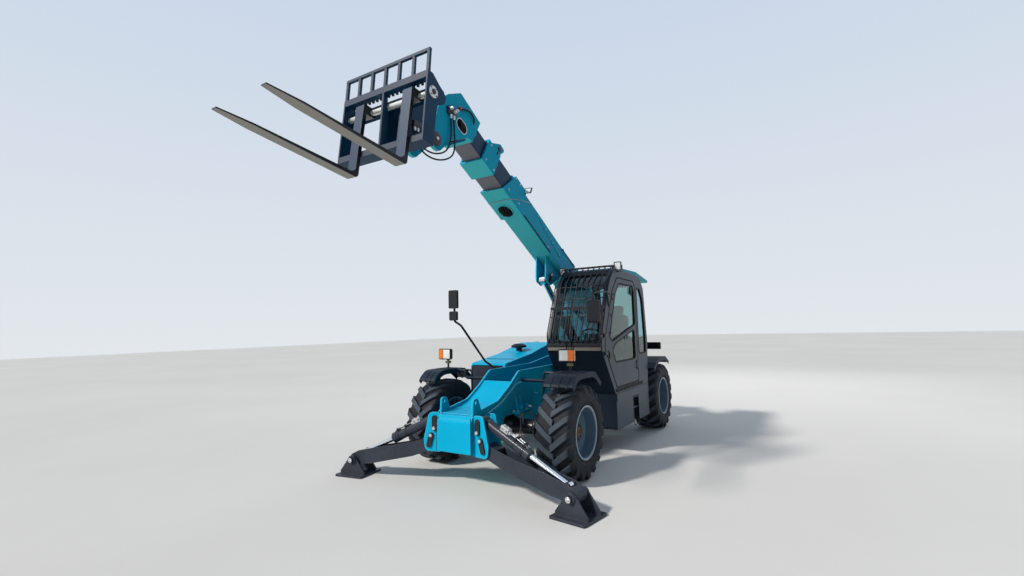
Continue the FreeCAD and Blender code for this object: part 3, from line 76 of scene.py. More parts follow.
lens = bpy.data.cameras.new("camera")
lens.sensor_width = 36
lens.lens = 36 * 490.5 / 1024
lens.shift_y = -13.95 / 1024
lens.clip_start = 0.05
camera = bpy.data.objects.new("camera", lens)
camera.matrix_world = Matrix((
    (camera_right.x, camera_up.x, -forward.x, EYE.x),
    (camera_right.y, camera_up.y, -forward.y, EYE.y),
    (camera_right.z, camera_up.z, -forward.z, EYE.z),
    (0, 0, 0, 1),
))
scene = bpy.context.scene
scene.collection.objects.link(camera)
scene.camera = camera
print("lens", round(lens.lens, 2), "mm")

# %% [markdown]
# A studio shows a shape better than a building site does. The floor is one pale plane under a soft blue-grey
# dome. A sun lamp stands where the real sun was, in front of the machine and to its right, because a sun keeps
# one strength from the forks to the counterweight, which an area lamp can't. The dome lights the shaded side
# weakly, and a Light Path node lets the camera, paint and glass see it at full strength.

# %% Floor, world and lamps
def colour(text, alpha=1.0):
    """A hex colour as the linear numbers that a shader socket takes."""
    parts = [int(text[index:index + 2], 16) / 255 for index in (0, 2, 4)]
    linear = [part / 12.92 if part <= 0.04045 else ((part + 0.055) / 1.055) ** 2.4 for part in parts]
    return (*linear, alpha)


def add_object(name, data):
    made = bpy.data.objects.new(name, data)
    scene.collection.objects.link(made)
    return made


floor_mesh = bpy.data.meshes.new("floor")
floor_mesh.from_pydata([(-60, -40, 0), (60, -40, 0), (60, 80, 0), (-60, 80, 0)], [], [(0, 1, 2, 3)])
floor = add_object("floor", floor_mesh)

scene.view_settings.view_transform = "Standard"
world = bpy.data.worlds.new("studio")
scene.world = world
world.use_nodes = True
sky = world.node_tree.nodes
links = world.node_tree.links
dim, seen = sky["Background"], sky.new("ShaderNodeBackground")
dim.inputs["Strength"].default_value = 0.42
direction = sky.new("ShaderNodeTexCoord")
split = sky.new("ShaderNodeSeparateXYZ")
height = sky.new("ShaderNodeMapRange")
height.inputs["From Min"].default_value = -0.05
height.inputs["From Max"].default_value = 0.7
shade = sky.new("ShaderNodeMix")
shade.data_type = "RGBA"
shade.inputs[6].default_value = colour("e4e8ec")
shade.inputs[7].default_value = colour("c3d3e8")
rays, glossy, any_ray = sky.new("ShaderNodeLightPath"), sky.new("ShaderNodeMath"), sky.new("ShaderNodeMath")
glossy.operation = any_ray.operation = "MAXIMUM"
choice = sky.new("ShaderNodeMixShader")
for start, end in (
        (direction.outputs["Generated"], split.inputs[0]), (split.outputs["Z"], height.inputs["Value"]),
        (height.outputs["Result"], shade.inputs[0]), (shade.outputs[2], dim.inputs["Color"]),
        (shade.outputs[2], seen.inputs["Color"]), (rays.outputs["Is Camera Ray"], glossy.inputs[0]),
        (rays.outputs["Is Glossy Ray"], glossy.inputs[1]), (glossy.outputs[0], any_ray.inputs[0]),
        (rays.outputs["Is Transmission Ray"], any_ray.inputs[1]), (any_ray.outputs[0], choice.inputs[0]),
        (dim.outputs[0], choice.inputs[1]), (seen.outputs[0], choice.inputs[2]),
        (choice.outputs[0], sky["World Output"].inputs[0])):
    links.new(start, end)


def lamp(name, place, aim, width, power, tint="ffffff"):
    """A square area lamp that shines from one point at another."""
    light = bpy.data.lights.new(name, "AREA")
    light.shape = "SQUARE"
    light.size = width
    light.energy = power
    light.color = colour(tint)[:3]
    holder = add_object(name, light)
    holder.location = place
    holder.rotation_euler = (Vector(aim) - Vector(place)).to_track_quat("-Z", "Y").to_euler()
    holder.visible_glossy = holder.visible_transmission = False


sun = bpy.data.lights.new("sun", "SUN")
sun.energy = 2.9
sun.angle = math.radians(5)
sun.color = colour("fff8ee")[:3]
sun_holder = add_object("sun", sun)
sun_holder.rotation_euler = Vector((0.38, 0.68, -0.63)).to_track_quat("-Z", "Y").to_euler()
lamp("side", (11.0, -1.0, 5.0), (0, 0.5, 1.2), 7.0, 40, "eaf3ff")
lamp("behind", (2.0, 13.0, 9.0), (0, 1.0, 1.5), 6.0, 300)

# %% [markdown]
# Four effects turn up on many finishes: a sprayed skin that is never quite flat, edges that catch the
# light because no plate has a knife edge, dust that lies on faces that look up and near the ground, and a
# cloudy change of tone over a large panel. Each is a node group with named inputs, made once. A material
# then places the groups it needs with its own values.

# %% Shared shader groups
def new_group(name, inputs, outputs):
    """An empty shader group: sockets are (name, type, default value)."""
    group = bpy.data.node_groups.new(name, "ShaderNodeTree")
    for label, kind, value in inputs:
        socket = group.interface.new_socket(label, in_out="INPUT", socket_type=kind)
        socket.default_value = value
    for label, kind in outputs:
        group.interface.new_socket(label, in_out="OUTPUT", socket_type=kind)
    return group, group.nodes.new("NodeGroupInput"), group.nodes.new("NodeGroupOutput")


def node(tree, kind, settings=(), **values):
    """A node with its options set and its sockets filled or linked; a value that is a socket is linked."""
    made = tree.nodes.new(kind)
    for label, value in dict(settings).items():
        setattr(made, label, value)
    for label, value in values.items():
        plug = made.inputs[int(label[1:]) if label[0] == "_" else label.replace("_", " ")]
        if isinstance(value, bpy.types.NodeSocket):
            tree.links.new(value, plug)
        else:
            plug.default_value = value
    return made


def skin_group():
    """Sprayed or moulded skin: outputs a height for a Bump node."""
    group, given, out = new_group("sprayed_skin", [("Scale", "NodeSocketFloat", 300.0), ("Detail", "NodeSocketFloat", 2.0)],
                                  [("Height", "NodeSocketFloat")])
    place = node(group, "ShaderNodeTexCoord")
    speckle = node(group, "ShaderNodeTexNoise", Vector=place.outputs["Object"], Scale=given.outputs["Scale"],
                   Detail=given.outputs["Detail"])
    group.links.new(speckle.outputs["Fac"], out.inputs["Height"])
    return group


def cloud_group():
    """A slow change of tone over a panel, between two colours."""
    group, given, out = new_group("tone_clouds", [("First", "NodeSocketColor", (1, 1, 1, 1)),
                                                  ("Second", "NodeSocketColor", (0, 0, 0, 1)),
                                                  ("Scale", "NodeSocketFloat", 2.0)], [("Color", "NodeSocketColor")])
    place = node(group, "ShaderNodeTexCoord")
    clouds = node(group, "ShaderNodeTexNoise", Vector=place.outputs["Object"], Scale=given.outputs["Scale"], Detail=5.0,
                  Roughness=0.6)
    reach = node(group, "ShaderNodeMapRange", Value=clouds.outputs["Fac"])
    reach.inputs["From Min"].default_value = 0.3
    reach.inputs["From Max"].default_value = 0.7
    blend = node(group, "ShaderNodeMix", {"data_type": "RGBA"}, _0=reach.outputs["Result"], _6=given.outputs["First"],
                 _7=given.outputs["Second"])
    group.links.new(blend.outputs[2], out.inputs["Color"])
    return group


def dust_group():
    """How much dust lies on a face: more where it looks up, more near the ground, broken up by noise."""
    group, given, out = new_group("settled_dust", [("Amount", "NodeSocketFloat", 0.3), ("Height", "NodeSocketFloat", 0.9)],
                                  [("Mask", "NodeSocketFloat")])
    face = node(group, "ShaderNodeNewGeometry")
    up = node(group, "ShaderNodeSeparateXYZ", Vector=face.outputs["Normal"])
    where = node(group, "ShaderNodeTexCoord")
    level = node(group, "ShaderNodeSeparateXYZ", Vector=where.outputs["Object"])
    low = node(group, "ShaderNodeMapRange", Value=level.outputs["Z"], From_Max=given.outputs["Height"])
    low.inputs["To Min"].default_value = 0.8
    low.inputs["To Max"].default_value = 0.0
    flat = node(group, "ShaderNodeMapRange", Value=up.outputs["Z"])
    flat.inputs["From Min"].default_value = 0.5
    flat.inputs["To Max"].default_value = 0.8
    both = node(group, "ShaderNodeMath", {"operation": "MAXIMUM"}, _0=low.outputs["Result"], _1=flat.outputs["Result"])
    patches = node(group, "ShaderNodeTexNoise", Vector=where.outputs["Object"], Scale=9.0, Detail=7.0, Roughness=0.65)
    broken = node(group, "ShaderNodeMapRange", Value=patches.outputs["Fac"])
    broken.inputs["From Min"].default_value = 0.35
    broken.inputs["From Max"].default_value = 0.75
    lying = node(group, "ShaderNodeMath", {"operation": "MULTIPLY"}, _0=both.outputs[0], _1=broken.outputs["Result"])
    much = node(group, "ShaderNodeMath", {"operation": "MULTIPLY"}, _0=lying.outputs[0], _1=given.outputs["Amount"])
    group.links.new(much.outputs[0], out.inputs["Mask"])
    return group


def edge_group():
    """A rounded normal for edges, and a mask that is 1 along them."""
    group, given, out = new_group("soft_edges", [("Radius", "NodeSocketFloat", 0.004)],
                                  [("Normal", "NodeSocketVector"), ("Mask", "NodeSocketFloat")])
    soft = node(group, "ShaderNodeBevel", {"samples": 4}, Radius=given.outputs["Radius"])
    face = node(group, "ShaderNodeNewGeometry")
    turn = node(group, "ShaderNodeVectorMath", {"operation": "DOT_PRODUCT"}, _0=soft.outputs[0], _1=face.outputs["Normal"])
    rim = node(group, "ShaderNodeMapRange", Value=turn.outputs["Value"])
    rim.inputs["From Min"].default_value = 0.97
    rim.inputs["From Max"].default_value = 0.8
    group.links.new(soft.outputs[0], out.inputs["Normal"])
    group.links.new(rim.outputs["Result"], out.inputs["Mask"])
    return group


SKIN, CLOUDS, DUST, EDGES = skin_group(), cloud_group(), dust_group(), edge_group()
print("groups", [group.name for group in bpy.data.node_groups])

# %% [markdown]
# Every finish on this machine is a paint, a rubber, a moulded plastic, a bare metal or a glass, so one
# function builds them all from the same few groups: a base colour that drifts between two tones, paler
# edges, dust, a skin for the bump, and rounded edges under it. The paler edges are worn paint on most
# finishes and a painted highlight on the teal. What differs is a row of numbers.

# %% Finishes
def use(tree, group, **values):
    """Places a shared group in a material."""
    placed = node(tree, "ShaderNodeGroup", {"node_tree": group})
    for label, value in values.items():
        plug = placed.inputs[label.replace("_", " ")]
        if isinstance(value, bpy.types.NodeSocket):
            tree.links.new(value, plug)
        else:
            plug.default_value = value
    return placed


def finish(name, first, second, rough=0.4, metal=0.0, coat=0.0, edge_wear_and_highlight=None, edge_wear_and_highlight_share=0.0, dust=0.0, skin=300.0, bump=0.02,
           edge=0.004, dust_colour="a79d8c", rough_dust=0.85, tone=2.0, shine=0.3):
    material = bpy.data.materials.new(name)
    material.use_nodes = True
    tree = material.node_tree
    shader = tree.nodes["Principled BSDF"]
    base = use(tree, CLOUDS, First=colour(first), Second=colour(second), Scale=tone).outputs["Color"]
    normal = None
    if edge:
        edges = use(tree, EDGES, Radius=edge)
        normal = edges.outputs["Normal"]
        if edge_wear_and_highlight_share:
            amount = node(tree, "ShaderNodeMath", {"operation": "MULTIPLY"}, _0=edges.outputs["Mask"], _1=edge_wear_and_highlight_share)
            base = node(tree, "ShaderNodeMix", {"data_type": "RGBA"}, _0=amount.outputs[0], _6=base,
                        _7=colour(edge_wear_and_highlight or first)).outputs[2]
    if dust:
        settled = use(tree, DUST, Amount=dust).outputs["Mask"]
        base = node(tree, "ShaderNodeMix", {"data_type": "RGBA"}, _0=settled, _6=base, _7=colour(dust_colour)).outputs[2]
        dull = node(tree, "ShaderNodeMapRange", Value=settled)
        dull.inputs["To Min"].default_value = rough
        dull.inputs["To Max"].default_value = rough_dust
        tree.links.new(dull.outputs["Result"], shader.inputs["Roughness"])
    else:
        shader.inputs["Roughness"].default_value = rough
    tree.links.new(base, shader.inputs["Base Color"])
    shader.inputs["Metallic"].default_value = metal
    shader.inputs["Specular IOR Level"].default_value = shine
    shader.inputs["Coat Weight"].default_value = coat
    shader.inputs["Coat Roughness"].default_value = 0.12
    relief = node(tree, "ShaderNodeBump", Strength=bump, Distance=0.002,
                  Height=use(tree, SKIN, Scale=skin).outputs["Height"])
    if normal:
        tree.links.new(normal, relief.inputs["Normal"])
    tree.links.new(relief.outputs[0], shader.inputs["Normal"])
    return material


# Painted highlight: the teal's pale edge colour, at nearly full share, stands for the sunlit edge lines of the plates,
# not for wear.
teal = finish("teal_paint", "00a9d4", "05b2de", rough=0.36, coat=0.02, edge_wear_and_highlight="9fe4f0", edge_wear_and_highlight_share=0.9, dust=0.03, bump=0.03,
              edge=0.008, shine=0.06)
dark_paint = finish("dark_grey_paint", "2b313d", "343b48", rough=0.42, coat=0.06, edge_wear_and_highlight="808894", edge_wear_and_highlight_share=0.5, dust=0.07,
                    shine=0.2)
black_paint = finish("black_paint", "10131a", "181c24", rough=0.4, coat=0.15, edge_wear_and_highlight="434a56", edge_wear_and_highlight_share=0.4, dust=0.06)
cab_grey = finish("cab_grey_paint", "3a4350", "424c5a", rough=0.42, coat=0.05, edge_wear_and_highlight="868e96", edge_wear_and_highlight_share=0.35, dust=0.05, shine=0.2)
plastic = finish("black_plastic", "0c1b2b", "122538", rough=0.5, edge_wear_and_highlight="55606e", edge_wear_and_highlight_share=0.4, dust=0.08, skin=900, bump=0.12,
                 shine=0.2)
rubber = finish("black_rubber", "0d0f12", "14161a", rough=0.62, dust=0.05, edge=0.002, skin=700, bump=0.1)
tyre_rubber = finish("tyre_rubber", "0c0e14", "161920", rough=0.72, edge_wear_and_highlight="4d525c", edge_wear_and_highlight_share=0.6, dust=0.25, skin=160,
                     bump=0.18, edge=0.006)
rim_paint = finish("rim_paint", "4f6a80", "5d788e", rough=0.38, coat=0.15, edge_wear_and_highlight="b9c4cc", edge_wear_and_highlight_share=0.4, dust=0.15)
steel = finish("bare_steel", "8d9094", "9da0a4", rough=0.33, metal=1.0, edge_wear_and_highlight="c8cacc", edge_wear_and_highlight_share=0.4, skin=500, bump=0.05)
shaft_steel = finish("shaft_steel", "d9dcd8", "e6e8e4", rough=0.32, metal=0.5, edge=0.0, skin=60, bump=0.01)
chrome = finish("chrome", "dfe3e6", "eceff1", rough=0.09, metal=1.0, edge=0.0, skin=40, bump=0.004)
tube_paint = finish("tube_paint", "10304a", "183c58", rough=0.4, coat=0.04, edge_wear_and_highlight="7c929c", edge_wear_and_highlight_share=0.4, shine=0.15)
carriage_paint = finish("carriage_paint", "06304d", "0c3a59", rough=0.42, coat=0.04, edge_wear_and_highlight="7e8894", edge_wear_and_highlight_share=0.45, dust=0.03,
                        shine=0.15)
fork_steel = finish("worn_fork_steel", "14171d", "1e2026", rough=0.42, metal=0.2, edge_wear_and_highlight="8f8577", edge_wear_and_highlight_share=0.6, dust=0.03)
amber = finish("amber_lens", "e0680c", "f0851a", rough=0.18, coat=0.6, edge=0.0, skin=120, bump=0.05)
white_lens = finish("white_lens", "dfe6ea", "f0f4f6", rough=0.12, coat=0.7, edge=0.0, skin=90, bump=0.25)
red_lens = finish("red_lens", "a30f14", "b8151a", rough=0.18, coat=0.6, edge=0.0, skin=120, bump=0.05)
print(len(bpy.data.materials), "finishes")

# %% [markdown]
# The raised boom and forks are seen from below, where sunlit ground throws its own warm colour on the paint.
# A pale studio floor doesn't, so the faces that look down get a second tone, chosen by their direction: painted
# bounce light. The left sides of the teal get a deeper one, painted shade, as they see the blue sky and not the
# sun. The faces of the carriage and the forks that look ahead get a paler one, painted light.

# %% Painted light and shade by direction
def paint_light_by_facing(material, way, tone, start=0.5, full=0.75):
    """Painted light and shade: another tone for the faces that look one way, counted in the object's own directions at
    rest.
    """
    tree = material.node_tree
    plug = tree.nodes["Principled BSDF"].inputs["Base Color"]
    place = node(tree, "ShaderNodeTexCoord")
    turned = node(tree, "ShaderNodeVectorMath", {"operation": "DOT_PRODUCT"}, _0=place.outputs["Normal"], _1=way)
    share = node(tree, "ShaderNodeMapRange", Value=turned.outputs["Value"])
    share.inputs["From Min"].default_value = start
    share.inputs["From Max"].default_value = full
    mixed = node(tree, "ShaderNodeMix", {"data_type": "RGBA"}, _0=share.outputs["Result"], _6=plug.links[0].from_socket,
                 _7=colour(tone))
    tree.links.new(mixed.outputs[2], plug)


for material, tone in ((teal, "46c0c4"), (tube_paint, "75747a"), (fork_steel, "8d8a82")):
    paint_light_by_facing(material, (0, 0, -1), tone)
paint_light_by_facing(teal, (1, 0, 0), "0093b2", 0.6, 0.9)
paint_light_by_facing(carriage_paint, (0, -1, 0), "4c5463", 0.6, 0.9)
paint_light_by_facing(fork_steel, (0, -1, 0), "39465a", 0.6, 0.9)
print("undersides and shaded sides toned on 4 finishes")

# %% [markdown]
# The panes are green-tinted safety glass. The Principled shader keeps a plain transmission and roughness,
# and the tint sits in its base colour, a little darker in slow patches as real laminated glass shows.

# %% Glass
def glass(name, first, second):
    material = bpy.data.materials.new(name)
    material.use_nodes = True
    tree = material.node_tree
    shader = tree.nodes["Principled BSDF"]
    tint = use(tree, CLOUDS, First=colour(first), Second=colour(second), Scale=1.2)
    tree.links.new(tint.outputs["Color"], shader.inputs["Base Color"])
    shader.inputs["Transmission Weight"].default_value = 1.0
    shader.inputs["Roughness"].default_value = 0.02
    shader.inputs["IOR"].default_value = 1.45
    return material


cab_tint, door_tint = glass("cab_glass", "74abb5", "689fab"), glass("door_glass", "659f97", "5a938c")
print("glass", cab_tint.name, door_tint.name)

# %% [markdown]
# The studio floor gets a plain pale concrete tone with a faint change over several metres.

# %% Floor finish
floor.data.materials.append(finish("floor_concrete", "dcdcda", "e4e4e2", rough=0.9, edge=0.0, skin=6, bump=0.02, tone=0.15))


def dress(material, *names):
    """Puts one finish on CAD nodes."""
    for name in names:
        data = nodes[name].data
        data.materials.clear()
        data.materials.append(material)


dress(teal, "chassis_frame", "nose_box", "engine_cover", "boom_outer", "boom_collar", "boom_head", "cab_roof")
dress(dark_paint, "stabiliser_arm_left", "stabiliser_arm_right", "stabiliser_foot_left", "stabiliser_foot_right",
      "stabiliser_barrel_left", "stabiliser_barrel_right", "counterweight", "lift_barrel", "tilt_barrel")
dress(black_paint, "front_axle", "rear_axle", "engine_block", "engine_tray", "roof_guard", "mirrors",
      *[name for name in nodes if name.startswith("knuckle")])
dress(cab_grey, "cab_frame", "cab_door", "side_step")
dress(plastic, "front_fenders", "rear_fenders", "air_cleaner", "cab_interior", "lamps")
dress(rim_paint, *[name for name in nodes if name.startswith("rim")])
dress(tyre_rubber, *[name for name in nodes if name.startswith("tyre")])
dress(chrome, "stabiliser_rod_left", "stabiliser_rod_right", "lift_rod", "tilt_rod")
dress(shaft_steel, "fork_shaft")
dress(tube_paint, "boom_middle", "boom_inner")
dress(carriage_paint, "fork_carriage")
dress(fork_steel, "fork_left", "fork_right")
dress(cab_tint, "cab_glass")
dress(door_tint, "door_glass")

# %% [markdown]
# The windscreen bends like a drum, so it would draw the sun as one hard white streak. Light linking keeps the
# sun off the two sets of panes, which then reflect only the sky, and leaves all other finishes as they are.

# %% Panes without sun glint
panes = bpy.data.collections.new("panes")
for name in ("cab_glass", "door_glass"):
    panes.objects.link(nodes[name])
sun_holder.light_linking.receiver_collection = panes
for entry in panes.collection_objects:
    entry.light_linking.link_state = "EXCLUDE"


# %% [markdown]
# The pieces that follow are drawn in mesh code. Four moves make almost all of them: an outline with rounded
# corners that is pushed through a thickness, a profile turned about an axis, a strip that runs round an
# outline as a rubber seal does, and a bent pipe. Each move adds to an open mesh, so a piece with many small
# forms is still one object. A bevel then breaks every hard edge, because a knife edge never catches light.

# %% Mesh helpers
WHEELBASE = 3.5
WHEEL_RADIUS = 0.575
X, Y, Z = Vector((1, 0, 0)), Vector((0, 1, 0)), Vector((0, 0, 1))
joints = {joint["name"]: joint for joint in frame["joints"]}


def at(across, station, height):
    """A place in the frame, from a station counted behind the front axle."""
    return Vector((across, station + FRONT_AXLE, height))


def rounded(corners, steps=4, radius=False):
    """Points of a closed outline; a corner is (u, v) or (u, v, reach of its round, or else its radius)."""
    points = []
    for index, (u, v, *reach) in enumerate(corners):
        here = Vector((u, v))
        if not reach:
            points.append(here)
            continue
        back = Vector(corners[index - 1][:2]) - here
        ahead = Vector(corners[(index + 1) % len(corners)][:2]) - here
        far = reach[0] / (math.tan(back.angle(ahead) / 2) if radius else 1)
        start = here + back.normalized() * min(far, back.length * 0.49)
        end = here + ahead.normalized() * min(far, ahead.length * 0.49)
        for step in range(steps + 1):
            share = step / steps
            points.append(start.lerp(here, share).lerp(here.lerp(end, share), share))
    return points


def moved_in(outline, amount):
    """The outline shrunk by an amount at every point; a negative amount grows it."""
    area = sum(a.x * b.y - b.x * a.y for a, b in zip(outline, outline[1:] + outline[:1]))
    way = 1 if area > 0 else -1
    result = []
    for index, here in enumerate(outline):
        run = (outline[(index + 1) % len(outline)] - outline[index - 1]).normalized()
        result.append(here + Vector((-run.y, run.x)) * way * amount)
    return result


def prism(build, outline, origin, u, v, depth):
    """An outline in the plane of u and v, pushed through depth."""
    near = [build.verts.new(origin + u * point[0] + v * point[1]) for point in outline]
    far = [build.verts.new(vert.co + depth) for vert in near]
    build.faces.new(near)
    build.faces.new(far[::-1])
    for index in range(len(near)):
        after = (index + 1) % len(near)
        build.faces.new((near[index], far[index], far[after], near[after]))


def strip(build, outline, width, origin, u, v, depth):
    """A strip of even width inside an outline, pushed through depth."""
    rings = []
    for shape in (outline, moved_in(outline, width)):
        for lift in (Vector(), depth):
            rings.append([build.verts.new(origin + u * point[0] + v * point[1] + lift) for point in shape])
    outer_near, outer_far, inner_near, inner_far = rings
    for index in range(len(outline)):
        after = (index + 1) % len(outline)
        for first, second in ((outer_near, outer_far), (outer_far, inner_far), (inner_far, inner_near),
                              (inner_near, outer_near)):
            build.faces.new((first[index], second[index], second[after], first[after]))


def lathe(build, profile, centre, axis, steps=48, closed=False):
    """A profile of (radius, along) turned about an axis."""
    axis = Vector(axis).normalized()
    across = axis.orthogonal().normalized()
    third = axis.cross(across)
    rings = []
    for step in range(steps):
        turn = 2 * math.pi * step / steps
        out = across * math.cos(turn) + third * math.sin(turn)
        rings.append([build.verts.new(Vector(centre) + axis * along + out * radius) for radius, along in profile])
    spans = len(profile) if closed else len(profile) - 1
    for here, there in zip(rings, rings[1:] + rings[:1]):
        for index in range(spans):
            after = (index + 1) % len(profile)
            build.faces.new((here[index], there[index], there[after], here[after]))
    bmesh.ops.remove_doubles(build, verts=[vert for ring in rings for vert in ring], dist=1e-6)


def button(radius, height, dome=0.25):
    """Profile of a round head that stands on a face: flat flank, rounded shoulder, slight crown."""
    return [(0, 0), (radius, 0), (radius, height * 0.6), (radius * 0.9, height * 0.85),
            (radius * 0.6, height * (1 - dome * 0.2)), (0, height)]


def nut(build, centre, axis, radius, height):
    """A hexagon nut with a stud through it."""
    axis = Vector(axis).normalized()
    across = axis.orthogonal().normalized()
    third = axis.cross(across)
    corners = [(radius * math.cos(math.radians(60 * turn)), radius * math.sin(math.radians(60 * turn)))
               for turn in range(6)]
    prism(build, corners, Vector(centre), across, third, axis * height)
    lathe(build, button(radius * 0.5, height * 1.5), centre, axis, 12)


def add_piece(name, build, materials, body, bevel=0.0, angle=35, faces=None):
    """Closes an open mesh into a piece that rides on a body."""
    bmesh.ops.recalc_face_normals(build, faces=build.faces)
    mesh = bpy.data.meshes.new(name)
    build.to_mesh(mesh)
    build.free()
    for material in materials if isinstance(materials, tuple) else (materials,):
        mesh.materials.append(material)
    mesh.shade_smooth()
    mesh.set_sharp_from_angle(angle=math.radians(angle))
    piece = add_object(name, mesh)
    if bevel:
        soft = piece.modifiers.new("edges", "BEVEL")
        soft.width = bevel
        soft.segments = 2
        soft.angle_limit = math.radians(angle)
        soft.harden_normals = True
    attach(piece, body)
    return piece


def add_pipes(name, routes, radius, material, body):
    """Rigid pipes or rods along smooth lines, all of one radius, as one piece."""
    data = bpy.data.curves.new(name, "CURVE")
    data.dimensions = "3D"
    data.bevel_depth = radius
    data.bevel_resolution = 3
    data.use_fill_caps = True
    data.resolution_u = 8
    for route in routes:
        line = data.splines.new("NURBS")
        line.points.add(len(route) - 1)
        for point, place in zip(line.points, route):
            point.co = (*place, 1)
        line.order_u = 3
        line.use_endpoint_u = True
    data.materials.append(material)
    piece = add_object(name, data)
    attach(piece, body)
    return piece


print(len(joints), "joints to follow")

# %% [markdown]
# The tyres carry the look of the machine: wide, square in section, with two rows of bar lugs that meet as
# arrows. Each lug is a bar that starts just past the middle of the tread, runs slantwise over the crown and
# bends down over the shoulder until it dies out in the side wall. A lug could be bent with a modifier, but
# worked out station by station it keeps its true width and seats on the carcass everywhere. The carcass is a
# turned profile with a bulging wall and the raised rings that a mould leaves. One mesh serves four wheels.

# %% Tyres
LUGS = 18
LUG_SLANT = math.tan(math.radians(38))
LUG_HALF = 0.042
# place across, run along the tread, outer radius, seat's place across, seat's radius
LUG_STATIONS = (
    (-0.022, -0.022, 0.548, -0.022, 0.522),
    (-0.016, -0.012, 0.568, -0.014, 0.522),
    (0.030, 0.030, 0.5735, 0.030, 0.522),
    (0.100, 0.100, 0.5735, 0.100, 0.522),
    (0.165, 0.165, 0.570, 0.160, 0.518),
    (0.202, 0.200, 0.560, 0.188, 0.512),
    (0.2215, 0.226, 0.536, 0.203, 0.500),
    (0.2285, 0.246, 0.500, 0.214, 0.482),
    (0.2295, 0.262, 0.462, 0.219, 0.458),
    (0.2250, 0.272, 0.438, 0.221, 0.440),
)


def round_the_wheel(across, turn, radius):
    """A point given by its place across the wheel, its angle behind the top, and its radius."""
    return Vector((across, radius * math.sin(turn), radius * math.cos(turn)))


def tyre_lug(build, side, start):
    """One bar lug of a row; side is the row, start its angle at the middle of the tread."""
    rings = []
    for across, run, outer, seat_across, seat in LUG_STATIONS:
        turn = start + LUG_SLANT * run / 0.55
        ring = []
        for place, radius, half in ((across, outer, LUG_HALF * 0.9), (seat_across, seat, LUG_HALF * 1.12)):
            ring += [round_the_wheel(side * place, turn + way * half / radius, radius) for way in (-1, 1)]
        rings.append([build.verts.new(point) for point in (ring[0], ring[1], ring[3], ring[2])])
    for here, there in zip(rings, rings[1:]):
        for index in range(4):
            after = (index + 1) % 4
            build.faces.new((here[index], here[after], there[after], there[index]))
    build.faces.new(rings[0])
    build.faces.new(rings[-1][::-1])


def tread_material():
    """The rubber of the tyre, with the worn tops of the lugs paler than the grooves."""
    material = finish("tread_rubber", "161a21", "1f242c", rough=0.7, edge_wear_and_highlight="5a6470", edge_wear_and_highlight_share=0.5, dust=0.0, skin=160,
                      bump=0.2, edge=0.005)
    tree = material.node_tree
    shader = tree.nodes["Principled BSDF"]
    under = shader.inputs["Base Color"].links[0].from_socket
    place = node(tree, "ShaderNodeTexCoord")
    flat = node(tree, "ShaderNodeVectorMath", {"operation": "MULTIPLY"}, _0=place.outputs["Object"], _1=(0, 1, 1))
    radius = node(tree, "ShaderNodeVectorMath", {"operation": "LENGTH"}, _0=flat.outputs[0])
    high = node(tree, "ShaderNodeMapRange", Value=radius.outputs["Value"])
    high.inputs["From Min"].default_value = 0.545
    high.inputs["From Max"].default_value = 0.568
    patches = node(tree, "ShaderNodeTexNoise", Vector=place.outputs["Object"], Scale=14.0, Detail=6.0, Roughness=0.7)
    rubbed = node(tree, "ShaderNodeMapRange", Value=patches.outputs["Fac"])
    rubbed.inputs["From Min"].default_value = 0.25
    rubbed.inputs["From Max"].default_value = 0.7
    rubbed.inputs["To Min"].default_value = 0.45
    much = node(tree, "ShaderNodeMath", {"operation": "MULTIPLY"}, _0=high.outputs["Result"], _1=rubbed.outputs["Result"])
    top = node(tree, "ShaderNodeMix", {"data_type": "RGBA"}, _0=much.outputs[0], _6=under, _7=colour("4b5663"))
    dusty = node(tree, "ShaderNodeMapRange", Value=patches.outputs["Fac"])
    dusty.inputs["From Min"].default_value = 0.5
    dusty.inputs["From Max"].default_value = 0.8
    dusty.inputs["To Max"].default_value = 0.35
    dust = node(tree, "ShaderNodeMix", {"data_type": "RGBA"}, _0=dusty.outputs["Result"], _6=top.outputs[2],
                _7=colour("3d4046"))
    tree.links.new(dust.outputs[2], shader.inputs["Base Color"])
    return material


carcass = bmesh.new()
half_section = [(0.3085, 0.190), (0.318, 0.197), (0.334, 0.204), (0.338, 0.210), (0.346, 0.211), (0.350, 0.2105),
                (0.372, 0.2215), (0.376, 0.2255), (0.384, 0.2262), (0.388, 0.2245), (0.415, 0.2278), (0.445, 0.227),
                (0.475, 0.222), (0.503, 0.212), (0.522, 0.197), (0.531, 0.176), (0.5345, 0.14), (0.536, 0.05)]
section = half_section + [(radius, -across) for radius, across in reversed(half_section)]
lathe(carcass, section, (0, 0, 0), X, 96, closed=True)
for row in (1, -1):
    for index in range(LUGS):
        tyre_lug(carcass, row, 2 * math.pi * (index + (0.5 if row < 0 else 0)) / LUGS)
tread = tread_material()
corners = [end + "_" + hand for end in ("front", "rear") for hand in ("left", "right")]
first_tyre = add_piece("tyre_dressed_" + corners[0], carcass, tread, "wheel_" + corners[0], bevel=0.004, angle=28)
for corner in corners:
    wheel = joints["spin_" + corner]["pos_m"]
    if corner == corners[0]:
        tyre = first_tyre
    else:
        tyre = add_object("tyre_dressed_" + corner, first_tyre.data)
        rounded_edges = tyre.modifiers.new("edges", "BEVEL")
        rounded_edges.width = 0.004
        rounded_edges.segments = 2
        rounded_edges.angle_limit = math.radians(28)
        rounded_edges.harden_normals = True
    tyre.location = wheel
    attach(tyre, "wheel_" + corner)
    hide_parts("tyre_" + corner)
print("tyre mesh has", len(first_tyre.data.polygons), "faces")
